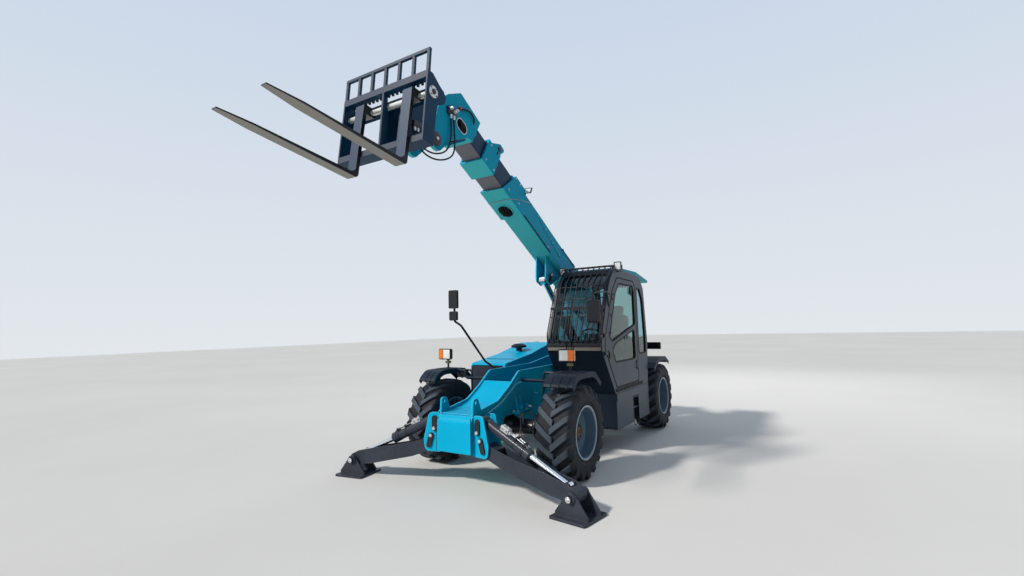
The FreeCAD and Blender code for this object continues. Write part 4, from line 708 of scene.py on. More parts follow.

# %% [markdown]
# The pressed rims are in the model. What a hand would find on them is added here: the rolled outer flange,
# paler than the dish, ten wheel nuts on their studs, and the planetary hub with its ring of bolts and a
# bare, rusty drain plug in the middle.

# %% Wheel fittings
flange_paint = finish("rim_flange", "8d9ba6", "9aa7b0", rough=0.36, coat=0.2, edge_wear_and_highlight="c3ccd2", edge_wear_and_highlight_share=0.5, dust=0.15)
hub_paint = finish("hub_black", "1a1c20", "24272c", rough=0.5, edge_wear_and_highlight="5b5f66", edge_wear_and_highlight_share=0.5, dust=0.3)
rust = finish("rusty_steel", "7a4a2a", "8f5f38", rough=0.7, metal=0.3, edge_wear_and_highlight="a98462", edge_wear_and_highlight_share=0.4, skin=120, bump=0.3)
NUTS = 10
for corner in corners:
    wheel = Vector(joints["spin_" + corner]["pos_m"])
    out = Vector((1 if wheel.x > 0 else -1, 0, 0))
    flange = bmesh.new()
    lathe(flange, [(0.300, 0.2085), (0.3225, 0.2105), (0.3245, 0.216), (0.318, 0.219), (0.306, 0.2185), (0.296, 0.205)],
          wheel, out, 72, closed=True)
    add_piece("rim_flange_" + corner, flange, flange_paint, "wheel_" + corner)
    hub = bmesh.new()
    lathe(hub, [(0, 0.09), (0.062, 0.1005), (0.1, 0.1005), (0.112, 0.092), (0.131, 0.072), (0.136, 0.070),
                (0.138, 0.058), (0.150, 0.056), (0.152, 0.0205)], wheel, out, 48)
    for index in range(8):
        turn = 2 * math.pi * index / 8
        place = wheel + out * 0.100 + Vector((0, math.cos(turn), math.sin(turn))) * 0.086
        nut(hub, place, out, 0.010, 0.008)
    add_piece("hub_cover_" + corner, hub, hub_paint, "wheel_" + corner, bevel=0.0015)
    plug = bmesh.new()
    lathe(plug, [(0, 0.099), (0.052, 0.099), (0.054, 0.104), (0.050, 0.110), (0.030, 0.113), (0.028, 0.109), (0, 0.109)],
          wheel, out, 32)
    nut(plug, wheel + out * 0.108, out, 0.014, 0.012)
    add_piece("hub_plug_" + corner, plug, rust, "wheel_" + corner, bevel=0.0015)
    ring = bmesh.new()
    for index in range(NUTS):
        turn = 2 * math.pi * index / NUTS
        nut(ring, wheel + out * 0.0205 + Vector((0, math.cos(turn), math.sin(turn))) * 0.178, out, 0.0165, 0.018)
    add_piece("wheel_nuts_" + corner, ring, steel, "wheel_" + corner, bevel=0.001)
print(NUTS, "nuts on each wheel")

# %% [markdown]
# Each pin of the stabilisers is kept from creeping out by a keeper: an oval plate over the pin's end, with one
# bolt beside it. Four of them show on the nose as black ovals with a bright bolt head, so they are modelled
# and not painted. They are drawn once for a hand, in the directions of that hand's own arm.

# %% Pin keepers
bolt_head = finish("zinc_bolt", "c9ccce", "d8dadb", rough=0.3, metal=0.7, edge_wear_and_highlight="f0f1f2", edge_wear_and_highlight_share=0.4, edge=0.002, skin=400)
keeper_paint = finish("keeper_black", "121318", "1a1c22", rough=0.38, coat=0.25, edge_wear_and_highlight="4c5058", edge_wear_and_highlight_share=0.4, dust=0.1)


def hand_ways(hand):
    """Pivot of a stabiliser arm, then outwards and towards the machine's front."""
    joint = joints["arm_lift_" + hand]
    front = Vector(joint["axis"])
    if front.y > 0:
        front = -front
    out = Z.cross(front) * (1 if hand == "left" else -1)
    return Vector(joint["pos_m"]), out, front


def oval(reach, radius):
    """Outline of a plate with two round ends, from the first round's middle along v."""
    points = []
    for centre, first in ((reach, 0), (0, 180)):
        for step in range(11):
            turn = math.radians(first + 18 * step)
            points.append(Vector((radius * math.cos(turn), centre + radius * math.sin(turn))))
    return points


def keeper(plate, bolt, centre, way, side_way, face, reach=0.12, radius=0.034):
    """An oval plate that lies on a face over a pin, with its bolt at the far end."""
    prism(plate, oval(reach, radius), centre, side_way, way, face * 0.02)
    lathe(bolt, button(0.021, 0.018), centre + way * reach + face * 0.02, face, 20)


for hand in ("left", "right"):
    pivot, out, front = hand_ways(hand)
    plates, bolts = bmesh.new(), bmesh.new()
    for across, height, lean in ((-0.08, 0.32, (0.0, -1.0)), (0.0, 0.0, (-0.28, 0.96))):
        way = (out * lean[0] + Z * lean[1]).normalized()
        place = pivot + out * across + Z * height + front * 0.1152
        keeper(plates, bolts, place, way, way.cross(front), front)
    add_piece("pin_keepers_" + hand, plates, keeper_paint, "chassis", bevel=0.003)
    add_piece("keeper_bolts_" + hand, bolts, bolt_head, "chassis")
    foot = Vector(joints["foot_tilt_" + hand]["pos_m"])
    rings, caps = bmesh.new(), bmesh.new()
    for way in (1, -1):
        lathe(rings, [(0.0305, 0.1252), (0.056, 0.1252), (0.056, 0.137), (0.052, 0.141), (0.034, 0.141), (0.0305, 0.137)],
              foot, front * way, 32, closed=True)
        lathe(caps, button(0.0298, 0.004), foot + front * way * 0.1702, front * way, 24)
        nut(caps, foot + front * way * 0.1735, front * way, 0.011, 0.007)
    add_piece("foot_rings_" + hand, rings, dark_paint, "stabiliser_foot_" + hand, bevel=0.001)
    add_piece("foot_pin_caps_" + hand, caps, bolt_head, "stabiliser_foot_" + hand)
print("keepers on", 4, "pins, rings on", 4, "gussets")

# %% [markdown]
# A stabiliser ram has a lock valve on its barrel, so that the leg can't sink if a hose bursts: a light grey
# block bolted on top, with steel pipes that run along the barrel to the gland. The pipes are curves with a
# round bevel, because a curve keeps its bend smooth with three or four points.

# %% Ram lock valves and pipes
valve_grey = finish("valve_grey", "b4b8ba", "c2c5c6", rough=0.45, metal=0.3, edge_wear_and_highlight="dfe0e0", edge_wear_and_highlight_share=0.4, dust=0.2, skin=500)
for hand in ("left", "right"):
    base = Vector(joints["ram_swing_" + hand]["pos_m"])
    way = Vector(joints["ram_slide_" + hand]["axis"])
    front = hand_ways(hand)[2]
    above = way.cross(front).normalized()
    above = above if above.z > 0 else -above
    body = "stabiliser_barrel_" + hand
    valve = bmesh.new()
    prism(valve, rounded([(-0.035, 0.050), (0.035, 0.050), (0.035, 0.108, 0.008), (-0.035, 0.108, 0.008)]),
          base + way * 0.27, front, above, way * 0.115)
    prism(valve, rounded([(-0.022, 0.056), (0.022, 0.056), (0.022, 0.090, 0.006), (-0.022, 0.090, 0.006)]),
          base + way * 0.385, front, above, way * 0.03)
    for along in (0.295, 0.36):
        nut(valve, base + way * along + above * 0.108, above, 0.013, 0.01)
        nut(valve, base + way * along + front * 0.035 + above * 0.085, front, 0.012, 0.014)
    add_piece("lock_valve_" + hand, valve, valve_grey, body, bevel=0.002)
    add_pipes("ram_pipes_" + hand, [
        [base + way * 0.415 + above * 0.078 + front * shift, base + way * 0.47 + above * 0.080 + front * shift * 1.4,
         base + way * 0.62 + above * 0.077 + front * shift * 1.4, base + way * 0.67 + above * 0.075 + front * shift * 1.2,
         base + way * 0.69 + above * 0.062 + front * shift] for shift in (0.014, -0.014)], 0.007, steel, body)
    clamps = bmesh.new()
    for along in (0.50, 0.63):
        lathe(clamps, [(0.0601, along), (0.0635, along), (0.0635, along + 0.022), (0.0601, along + 0.022)], base, way, 40,
              closed=True)
        prism(clamps, rounded([(-0.034, 0.058), (0.034, 0.058), (0.034, 0.092, 0.006), (-0.034, 0.092, 0.006)]),
              base + way * (along + 0.001), front, above, way * 0.02)
    add_piece("pipe_clamps_" + hand, clamps, black_paint, body, bevel=0.001)
print("valves and pipes on both rams")

# %% [markdown]
# The guards over the front tyres are moulded plastic: a thick arched sheet with a skirt turned down along its
# outer edge and three ribs pressed along it. The arched sheet is in the model. The ribs repeat its outline a
# little larger, over a narrow width, and the skirt is the same arch with a lower inner line.

# %% Fender ribs and skirts
FENDER_TOP = [(-0.390, 1.150), (-0.370, 1.185, 0.03), (-0.250, 1.290, 0.15), (0.300, 1.290, 0.15), (0.500, 1.125)]
FENDER_UNDER = [(0.480, 1.115), (0.290, 1.266, 0.14), (-0.240, 1.266, 0.14), (-0.355, 1.165, 0.02), (-0.370, 1.140)]
SKIRT_UNDER = [(0.462, 1.085), (0.270, 1.228, 0.12), (-0.225, 1.228, 0.12), (-0.330, 1.130, 0.02), (-0.350, 1.105)]
for side, hand, width in ((1, "left", 0.400), (-1, "right", 0.300)):
    inner = 0.85
    trim = bmesh.new()
    rib = moved_in(rounded(FENDER_TOP + FENDER_UNDER, 6), -0.008)
    for share in (0.22, 0.5, 0.78):
        prism(trim, rib, at(side * (inner + width * share - 0.018), 0, 0), Y, Z, X * 0.036 * 1)
    skirt = rounded(FENDER_TOP + SKIRT_UNDER, 6)
    prism(trim, moved_in(skirt, -0.003), at(side * (inner + width - 0.001), 0, 0), Y, Z, X * side * -0.007)
    prism(trim, moved_in(skirt, -0.003), at(side * (inner + 0.001), 0, 0), Y, Z, X * side * 0.007)
    add_piece("fender_trim_" + hand, trim, plastic, "chassis", bevel=0.003)
REAR_TOP = [(-0.560, 1.110), (-0.420, 1.200, 0.06), (-0.200, 1.275, 0.15), (0.200, 1.275, 0.15), (0.430, 1.165)]
REAR_SKIRT = [(0.405, 1.118), (0.185, 1.212, 0.12), (-0.185, 1.212, 0.12), (-0.392, 1.142, 0.05), (-0.528, 1.055)]
for side, hand in ((1, "left"), (-1, "right")):
    trim = bmesh.new()
    for across in (1.249, 0.857):
        prism(trim, moved_in(rounded(REAR_TOP + REAR_SKIRT, 6), -0.003), at(side * across, WHEELBASE, 0), Y, Z,
              X * side * -0.007)
    add_piece("rear_fender_trim_" + hand, trim, plastic, "chassis", bevel=0.003)
print("ribs and skirts on four guards")

# %% [markdown]
# A head lamp is a black moulded bucket on a stalk: a square clear lens with a faceted reflector behind it, and
# an amber marker that wraps round the outer end. The lens is a small grid pushed out into a pillow with a fine
# waffle on it, so that it glints in many places at once as a real one does. The lamps replace the plain solids.

# %% Head lamps
def pillow(build, centre, u, v, out, width, height, crown, waffle, cells=18):
    """A grid that bulges out of its frame, with a waffle of small cells on it."""
    rows = []
    for row in range(cells + 1):
        line = []
        for column in range(cells + 1):
            a, b = column / cells * 2 - 1, row / cells * 2 - 1
            bulge = crown * (1 - a ** 4) * (1 - b ** 4)
            ripple = waffle * (1 if (row + column) % 2 else -1) * (abs(a) < 0.95 and abs(b) < 0.95)
            line.append(build.verts.new(centre + u * a * width / 2 + v * b * height / 2 + out * (bulge + ripple)))
        rows.append(line)
    for low, high in zip(rows, rows[1:]):
        for column in range(cells):
            build.faces.new((low[column], low[column + 1], high[column + 1], high[column]))
    edge = rows[0] + [row[-1] for row in rows[1:]] + rows[-1][-2::-1] + [row[0] for row in rows[-2:0:-1]]
    back = [build.verts.new(vert.co - out * 0.006) for vert in edge]
    for index in range(len(edge)):
        after = (index + 1) % len(edge)
        build.faces.new((edge[index], back[index], back[after], edge[after]))
    build.faces.new(back)


def plate(across, height, reach=0.0):
    """A rectangle around the middle, with rounded corners if it has a reach."""
    round_off = (reach,) if reach else ()
    return rounded([(-across, -height, *round_off), (across, -height, *round_off), (across, height, *round_off),
                    (-across, height, *round_off)])


def loft(build, outlines):
    """A skin through outlines of equal counts, closed at both ends."""
    rings = [[build.verts.new(point) for point in outline] for outline in outlines]
    for here, there in zip(rings, rings[1:]):
        for index in range(len(here)):
            after = (index + 1) % len(here)
            build.faces.new((here[index], there[index], there[after], here[after]))
    build.faces.new(rings[0])
    build.faces.new(rings[-1][::-1])


first_lamp = None
for side, hand in ((1, "left"), (-1, "right")):
    middle = at(side * 1.0 - 0.038, 0.04, 1.50)
    out = X * side
    bucket = bmesh.new()
    sections = []
    for depth, share in ((0.012, 1.0), (0.05, 0.99), (0.078, 0.86), (0.088, 0.7)):
        sections.append([middle + X * point.x * share + Z * point.y * share + Y * depth for point in plate(0.11, 0.08, 0.02)])
    loft(bucket, sections)
    strip(bucket, plate(0.1095, 0.0795, 0.02), 0.010, middle + Y * 0.001, X, Z, Y * 0.014)
    stalk = at(side * 1.0, 0.085, 1.29)
    lathe(bucket, [(0, 0), (0.015, 0), (0.015, 0.14), (0, 0.14)], stalk, Z, 16)
    prism(bucket, plate(0.05, 0.035, 0.01), stalk + Z * 0.001, X, Y, Z * 0.008)
    nut(bucket, stalk + Z * 0.118, Z, 0.024, 0.02)
    for across in (-0.035, 0.035):
        nut(bucket, stalk + X * across + Z * 0.009, Z, 0.009, 0.007)
    lamp_body = add_piece("head_lamp_" + hand, bucket, black_paint, "chassis", bevel=0.002)
    first_lamp = first_lamp or lamp_body
    bracket = bmesh.new()
    prism(bracket, plate(0.036, 0.026, 0.006), stalk + Z * 0.075, X, Y, Z * 0.035)
    add_piece("lamp_bracket_" + hand, bracket, finish("olive_bracket_" + hand, "5b5c46", "6a6a52", rough=0.5, metal=0.4),
              "chassis", bevel=0.002)
    clear = bmesh.new()
    pillow(clear, middle + out * -0.034 + Y * 0.006, X, Z, -Y, 0.120, 0.132, 0.005, 0.0009)
    add_piece("head_lens_" + hand, clear, white_lens, "chassis", angle=60)
    marker = bmesh.new()
    loft(marker, [[middle + out * (0.069 + point.x) + Z * point.y + Y * depth for point in plate(half, tall, 0.012)]
                  for depth, half, tall in ((-0.0005, 0.036, 0.066), (0.004, 0.0405, 0.0705), (0.060, 0.0425, 0.072),
                                            (0.066, 0.040, 0.068))])
    for level in range(-5, 6):
        prism(marker, [(-0.034, -0.0025), (0.034, -0.0025), (0.034, 0.0025), (-0.034, 0.0025)],
              middle + out * 0.069 + Z * level * 0.011 + Y * 0.0005, X, Z, Y * -0.002)
    add_piece("head_marker_" + hand, marker, amber, "chassis", bevel=0.001)
print("two head lamps")

# %% [markdown]
# The bar behind the cab carries the tail lamps. It is a folded steel channel with a long slot, and the lamps
# face backwards on it: a red tail lamp, an amber indicator and a clear reversing lamp in one black tray.

# %% Rear lamp bar
rear_bar = bmesh.new()
bar_place = at(0.725, WHEELBASE + 0.26, 1.465)
strip(rear_bar, plate(0.425, 0.065, 0.012), 0.012, bar_place, X, Z, Y * 0.055)
prism(rear_bar, plate(0.418, 0.060, 0.008), bar_place + Y * 0.045, X, Z, Y * 0.006)
strip(rear_bar, [point + Vector((0.175, 0.005)) for point in plate(0.206, 0.026, 0.018)], 0.010, bar_place + Y * 0.0005, X, Z,
      Y * 0.058)
prism(rear_bar, plate(0.035, 0.035, 0.004), at(0.285, WHEELBASE + 0.20, 1.435), X, Z, Y * 0.12)
for across in (-0.40, -0.06, 0.40):
    nut(rear_bar, bar_place + X * across + Y * 0.0, -Y, 0.011, 0.006)
lamp_bar = add_piece("rear_lamp_bar", rear_bar, black_paint, "chassis", bevel=0.002)
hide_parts("lamps")
for across, width, shown, name in ((-0.30, 0.10, red_lens, "tail"), (-0.19, 0.08, amber, "turn"), (-0.105, 0.06, white_lens, "reverse")):
    lens_build = bmesh.new()
    pillow(lens_build, bar_place + X * across + Y * 0.0525, X, Z, Y, width, 0.09, 0.006, 0.0007, 14)
    add_piece("rear_lens_" + name, lens_build, shown, "chassis", angle=60)
print("rear bar and its three lenses")

# %% [markdown]
# The cab is one folded and welded steel shell with slate grey sides. Its front gets a nearly black tone, painted
# shade with a painted reflection of the blue sky, and its inside a dark tone, painted shade. A mask from the face's
# own direction picks the tone: faces that look ahead, and faces that look at the middle of the cab. That is simpler
# than cutting the model into painted patches.

# %% Cab tones with painted shade
CAB_MIDDLE = at(0.7425, 1.80, 1.75)


def paint_shade_inside(material, middle, tone):
    """Painted shade: another tone for the faces that look towards a middle, as a shell's inner faces do."""
    tree = material.node_tree
    plug = tree.nodes["Principled BSDF"].inputs["Base Color"]
    place = node(tree, "ShaderNodeTexCoord")
    offset = node(tree, "ShaderNodeVectorMath", {"operation": "SUBTRACT"}, _0=place.outputs["Object"], _1=middle)
    turned = node(tree, "ShaderNodeVectorMath", {"operation": "DOT_PRODUCT"}, _0=offset.outputs[0],
                  _1=place.outputs["Normal"])
    inside = node(tree, "ShaderNodeMath", {"operation": "LESS_THAN"}, _0=turned.outputs["Value"], _1=0.0)
    painted_inside_shade = node(tree, "ShaderNodeMix", {"data_type": "RGBA"}, _0=inside.outputs[0], _6=plug.links[0].from_socket,
                 _7=colour(tone))
    tree.links.new(painted_inside_shade.outputs[2], plug)


# Painted shade with a painted reflection of the blue sky: a nearly black tone on the cab's faces that look ahead.
paint_light_by_facing(cab_grey, (0, -1, 0), "15212e", 0.45, 0.62)
# Painted shade: a dark tone on the cab's inner faces.
paint_shade_inside(cab_grey, CAB_MIDDLE, "1d2126")
print("cab tones on", cab_grey.name)

# %% [markdown]
# Every pane sits in a black rubber seal, and the door closes against another. A seal is the pane's own outline
# as a thin strip that stands a few millimetres proud, so its shadow draws the pane's edge. The windscreen and
# the rear window follow the bent skin of the shell, so their seals are round cords laid on that skin.

# %% Seals
DOOR_EDGE = [(1.300, 0.960, 0.05), (0.880, 1.540, 0.06), (0.900, 1.690, 0.20), (1.250, 2.380, 0.40), (1.480, 2.600, 0.08),
             (2.250, 2.590, 0.08), (2.330, 2.500, 0.06), (2.330, 0.960, 0.06)]
UPPER_PANE = [(1.080, 1.700, 0.04), (1.390, 2.350, 0.20), (1.560, 2.510, 0.06), (2.200, 2.510, 0.06), (2.250, 2.400, 0.06),
              (2.250, 1.880, 0.04), (1.200, 1.640, 0.06)]
LOWER_PANE = [(1.300, 1.330, 0.06), (1.180, 1.500, 0.06), (1.300, 1.600, 0.06), (2.200, 1.800, 0.06), (2.200, 1.330, 0.06)]
REAR_PANE = [(2.400, 1.400, 0.06), (2.400, 2.480, 0.06), (2.560, 2.480, 0.06), (2.700, 2.300, 0.10), (2.770, 1.600, 0.20),
             (2.760, 1.400, 0.06)]
RIGHT_PANE = [(1.000, 1.600), (1.380, 2.350, 0.20), (1.600, 2.560), (2.520, 2.560), (2.680, 2.400, 0.10),
              (2.760, 1.640, 0.10), (2.740, 1.560)]
CAB_EDGE = rounded([(1.230, 0.880), (0.770, 1.520), (0.770, 1.680), (1.130, 2.480, 0.7), (1.400, 2.740), (2.560, 2.690),
                    (2.780, 2.500), (2.880, 1.600, 0.6), (2.800, 0.880)], 12, radius=True)
CAB_LEFT, CAB_RIGHT = 1.170, 0.315


def skin_station(level, behind=False):
    """Station of the shell's front or rear skin at a height."""
    found = []
    for here, there in zip(CAB_EDGE, CAB_EDGE[1:] + CAB_EDGE[:1]):
        low, high = sorted((here, there), key=lambda point: point.y)
        if low.y <= level <= high.y and high.y > low.y:
            found.append(low.x + (high.x - low.x) * (level - low.y) / (high.y - low.y))
    return max(found) if behind else min(found)


def skin_loop(left, right, low, high, behind, lift):
    """A loop of points on the bent skin round an opening."""
    levels = [low + (high - low) * step / 10 for step in range(11)]
    side = lift if behind else -lift
    up = [(skin_station(level, behind) + side, level) for level in levels]
    middle = (left + right) / 2
    points = [at(middle, *up[0])] + [at(left, *place) for place in up] + [at(middle, *up[-1])]
    return points + [at(right, *place) for place in up[::-1]] + [at(middle, *up[0])]


door_seals, cab_seals = bmesh.new(), bmesh.new()
strip(door_seals, rounded(DOOR_EDGE, 8, radius=True), 0.016, at(1.160, 0, 0), Y, Z, X * 0.0135)
for pane in (UPPER_PANE, LOWER_PANE):
    strip(door_seals, moved_in(rounded(pane, 8, radius=True), -0.012), 0.020, at(1.1535, 0, 0), Y, Z, X * 0.0205)
strip(cab_seals, moved_in(rounded(REAR_PANE, 8, radius=True), -0.012), 0.020, at(1.157, 0, 0), Y, Z, X * 0.017)
strip(cab_seals, moved_in(rounded(RIGHT_PANE, 8, radius=True), -0.012), 0.020, at(0.328, 0, 0), Y, Z, X * -0.017)
add_piece("door_seals", door_seals, rubber, "cab_door", bevel=0.002)
add_piece("cab_seals", cab_seals, rubber, "chassis", bevel=0.002)
add_pipes("window_seals", [skin_loop(1.118, 0.367, 1.652, 2.645, False, 0.004), skin_loop(1.118, 0.367, 1.632, 2.545, True, 0.004)],
          0.010, rubber, "chassis")
print("seals round", 7, "openings")

# %% [markdown]
# Small hardware tells the size of a cab. The door has a round lock bowl at its front, a pull handle at its
# rear edge, three round clamps that hold the hinged upper pane, and a window catch. Below the sill a ribbed
# black strip covers the joint, and a folded lip runs over the step box. All of it lies on the left wall.

# %% Door and sill hardware
hardware = bmesh.new()
lathe(hardware, [(0.0, 0.0), (0.0, 0.004), (0.045, 0.006), (0.058, 0.012), (0.066, 0.012), (0.076, 0.005), (0.078, 0.0)],
      at(1.168, 1.035, 1.448), X, 40)
prism(hardware, rounded([(-0.012, -0.05, 0.01), (0.012, -0.05, 0.01), (0.012, 0.05, 0.01), (-0.012, 0.05, 0.01)]),
      at(1.172, 1.035, 1.448), Y, Z, X * 0.014)
for station, level in ((1.178, 2.015), (1.112, 1.766), (1.818, 1.675)):
    lathe(hardware, button(0.024, 0.016), at(1.169, station, level), X, 24)
prism(hardware, plate(0.020, 0.075, 0.014) and rounded([(-0.022, -0.078, 0.016), (0.022, -0.078, 0.016), (0.022, 0.078, 0.016),
                                                        (-0.022, 0.078, 0.016)]), at(1.168, 2.262, 1.225), Y, Z, X * 0.010)
loft(hardware, [[at(1.176 + rise, 2.262 + point.x, 1.225 + lean + point.y) for point in rounded(
    [(-0.011, -0.009, 0.004), (0.011, -0.009, 0.004), (0.011, 0.009, 0.004), (-0.011, 0.009, 0.004)])]
    for rise, lean in ((0.0, -0.060), (0.016, -0.046), (0.018, 0.0), (0.016, 0.046), (0.0, 0.060))])
add_piece("door_hardware", hardware, keeper_paint, "cab_door", bevel=0.0015)
catch = bmesh.new()
strip(catch, rounded([(2.065, 2.375, 0.02), (2.125, 2.365, 0.02), (2.150, 2.475, 0.02), (2.090, 2.490, 0.02)]), 0.014,
      at(1.153, 0, 0), Y, Z, X * 0.026)
lathe(catch, button(0.016, 0.014), at(1.153, 2.14, 2.365), X, 20)
add_piece("window_catch", catch, keeper_paint, "cab_door", bevel=0.002)
sill = bmesh.new()
prism(sill, rounded([(1.262, 0.896, 0.01), (2.500, 0.896, 0.01), (2.500, 0.946, 0.01), (1.230, 0.946, 0.01)]),
      at(1.168, 0, 0), Y, Z, X * 0.008)
for level in (0.905, 0.921, 0.937):
    prism(sill, rounded([(1.262, level - 0.004), (2.490, level - 0.004), (2.490, level + 0.004), (1.258, level + 0.004)]),
          at(1.176, 0, 0), Y, Z, X * 0.004)
add_piece("sill_strip", sill, rubber, "chassis", bevel=0.001)
lip = bmesh.new()
prism(lip, [(1.270, 0.762), (2.780, 0.745), (2.785, 0.872), (1.256, 0.872)], at(1.168, 0, 0), Y, Z, X * 0.010)
strip(lip, rounded([(1.985, 0.302, 0.01), (2.255, 0.302, 0.01), (2.255, 0.738, 0.01), (1.985, 0.738, 0.01)]), 0.0 + 0.012,
      at(1.168, 0, 0), Y, Z, X * 0.006)
add_piece("step_box_lip", lip, cab_grey, "chassis", bevel=0.003)
# Painted light: the belt's pale grey-brown stands for a ledge under the windscreen that catches the sun.
belt = bmesh.new()
prism(belt, rounded([(0.330, 1.522, 0.01), (1.155, 1.522, 0.01), (1.155, 1.580, 0.01), (0.330, 1.580, 0.01)]),
      at(0, 0.772, 0), X, Z, Y * -0.014)
add_piece("cab_belt", belt, finish("belt_painted_light", "6d6863", "78736d", rough=0.5, edge_wear_and_highlight="a09a92", edge_wear_and_highlight_share=0.3, dust=0.1), "chassis",
          bevel=0.004)
print("door, sill and belt fitted")

# %% [markdown]
# The bars over the windscreen keep a falling load out. The model has the bars and their frame; two thin rails
# tie them together behind, and a twin-arm wiper works in the gap between bars and glass. Its two arms leave
# the belt side by side and carry one upright blade.

# %% Guard rails and wiper
add_pipes("guard_rails", [[at(0.335, station, level), at(0.74, station, level), at(1.150, station, level)]
                          for station, level in ((0.982, 2.275), (1.062, 2.455), (0.868, 2.010))], 0.007, black_paint, "chassis")
wiper = bmesh.new()
for across in (0.655, 0.735):
    lathe(wiper, button(0.024, 0.030), at(across, 0.771, 1.500 + (across - 0.655) * 0.3), -Y, 24)
    nut(wiper, at(across, 0.741, 1.500 + (across - 0.655) * 0.3), -Y, 0.010, 0.008)
add_piece("wiper_pivots", wiper, black_paint, "chassis", bevel=0.002)
add_pipes("wiper_arms", [[at(across, 0.734, 1.502), at(across - 0.004, 0.722, 1.56), at(across - 0.03, 0.716, 1.66),
                          at(across - 0.035, 0.745, 1.74), at(0.63 + (across - 0.655) * 0.2, 0.842, 2.02)]
                         for across in (0.655, 0.735)], 0.0085, rubber, "chassis")
blade = bmesh.new()
loft(blade, [[at(0.636 + point.x, skin_station(level) - 0.013 + point.y, level) for point in rounded(
    [(-0.007, -0.009, 0.003), (0.007, -0.009, 0.003), (0.003, 0.012), (-0.003, 0.012)])] for level in (1.78, 1.90, 2.05, 2.20, 2.34)])
add_piece("wiper_blade", blade, rubber, "chassis")
print("rails, arms and blade")

# %% [markdown]
# The driver's mirror hangs ahead of the left front post on a bent tube. A mirror head is a shallow moulded
# shell: a rounded rectangle that bulges away from the glass. The shell is lofted from five outlines, and the
# glass is a thin silvered plate let into its rear face.

# %% Mirrors
mirror_shell = finish("mirror_shell", "2f2e33", "3a393f", rough=0.5, edge_wear_and_highlight="66656c", edge_wear_and_highlight_share=0.3, dust=0.08, skin=900, bump=0.1)
silver = finish("mirror_silver", "dde3e8", "e8edf1", rough=0.03, metal=1.0, edge=0.0, skin=30, bump=0.002)


def mirror_head(name, middle, half_width, half_height, rear=Y):
    """A mirror whose glass looks along rear."""
    across = rear.cross(Z).normalized()
    shell, pane = bmesh.new(), bmesh.new()
    loft(shell, [[middle + rear * depth + across * point.x * share + Z * point.y * share
                  for point in plate(half_width, half_height, 0.035)]
                 for depth, share in ((-0.034, 0.62), (-0.030, 0.80), (-0.018, 0.93), (0.0, 1.0), (0.020, 1.0))])
    prism(pane, plate(half_width - 0.010, half_height - 0.010, 0.03), middle + rear * 0.0185, across, Z, rear * 0.003)
    add_piece(name + "_shell", shell, mirror_shell, "chassis", bevel=0.002)
    add_piece(name + "_glass", pane, silver, "chassis")


mirror_head("door_mirror", at(1.150, 0.56, 2.068), 0.098, 0.160)
add_pipes("mirror_arm", [[at(1.140, 1.245, 2.300), at(1.185, 1.180, 2.345), at(1.190, 0.90, 2.350), at(1.165, 0.60, 2.330),
                          at(1.152, 0.565, 2.290), at(1.152, 0.565, 2.200)],
                         [at(1.160, 1.120, 2.120), at(1.190, 1.060, 2.200), at(1.190, 0.98, 2.345)]], 0.011, black_paint, "chassis")
mount = bmesh.new()
prism(mount, rounded([(1.225, 2.235, 0.015), (1.300, 2.235, 0.015), (1.325, 2.350, 0.02), (1.240, 2.350, 0.02)]),
      at(1.166, 0, 0), Y, Z, X * 0.010)
for station, level in ((1.250, 2.262), (1.295, 2.330)):
    nut(mount, at(1.176, station, level), X, 0.012, 0.009)
lathe(mount, [(0, 0), (0.019, 0), (0.019, 0.05), (0, 0.05)], at(1.152, 0.565, 2.205), Z, 20)
add_piece("mirror_mount", mount, black_paint, "chassis", bevel=0.002)
print("door mirror")

# %% [markdown]
# Two square work lamps look ahead from the front corners of the roof, and an amber beacon stands at its back.
# A work lamp is a finned black bucket with a clear faceted lens in a U-shaped strap. The beacon is a turned
# dome with ribs on a black foot, which is a single profile spun about its axis.

# %% Roof lamps and beacon
def work_lamp(name, middle, half_width, half_height, ahead, up, body, strap=True):
    """A square flood lamp that shines along ahead."""
    across = up.cross(ahead).normalized()
    bucket, clear = bmesh.new(), bmesh.new()
    loft(bucket, [[middle - ahead * depth + across * point.x * share + up * point.y * share
                   for point in plate(half_width, half_height, 0.014)]
                  for depth, share in ((0.0, 1.0), (0.028, 0.98), (0.052, 0.78), (0.060, 0.62))])
    strip(bucket, plate(half_width, half_height, 0.014), 0.011, middle - ahead * 0.002, across, up, ahead * 0.010)
    for fin in range(-2, 3):
        prism(bucket, [(-0.0025, -half_height * 0.6), (0.0025, -half_height * 0.6), (0.0025, half_height * 0.6),
                       (-0.0025, half_height * 0.6)], middle + across * fin * half_width * 0.25 - ahead * 0.05, across, up,
              ahead * -0.022)
    if strap:
        for side in (-1, 1):
            prism(bucket, rounded([(-0.045, -half_height - 0.020), (-0.018, -half_height - 0.020), (-0.018, 0.012, 0.01),
                                   (-0.045, 0.012, 0.01)]), middle + across * side * (half_width + 0.001), ahead, up,
                  across * side * 0.004)
            nut(bucket, middle + across * side * (half_width + 0.004) - ahead * 0.031, across * side, 0.008, 0.005)
        prism(bucket, [(-0.045, -half_width - 0.005), (-0.018, -half_width - 0.005), (-0.018, half_width + 0.005),
                       (-0.045, half_width + 0.005)], middle - up * (half_height + 0.020), ahead, across, up * 0.004)
    pillow(clear, middle + ahead * 0.002, across, up, ahead, half_width * 1.8, half_height * 1.8, 0.004, 0.0009, 16)
    add_piece(name + "_bucket", bucket, black_paint, body, bevel=0.0015)
    add_piece(name + "_lens", clear, white_lens, body, angle=60)


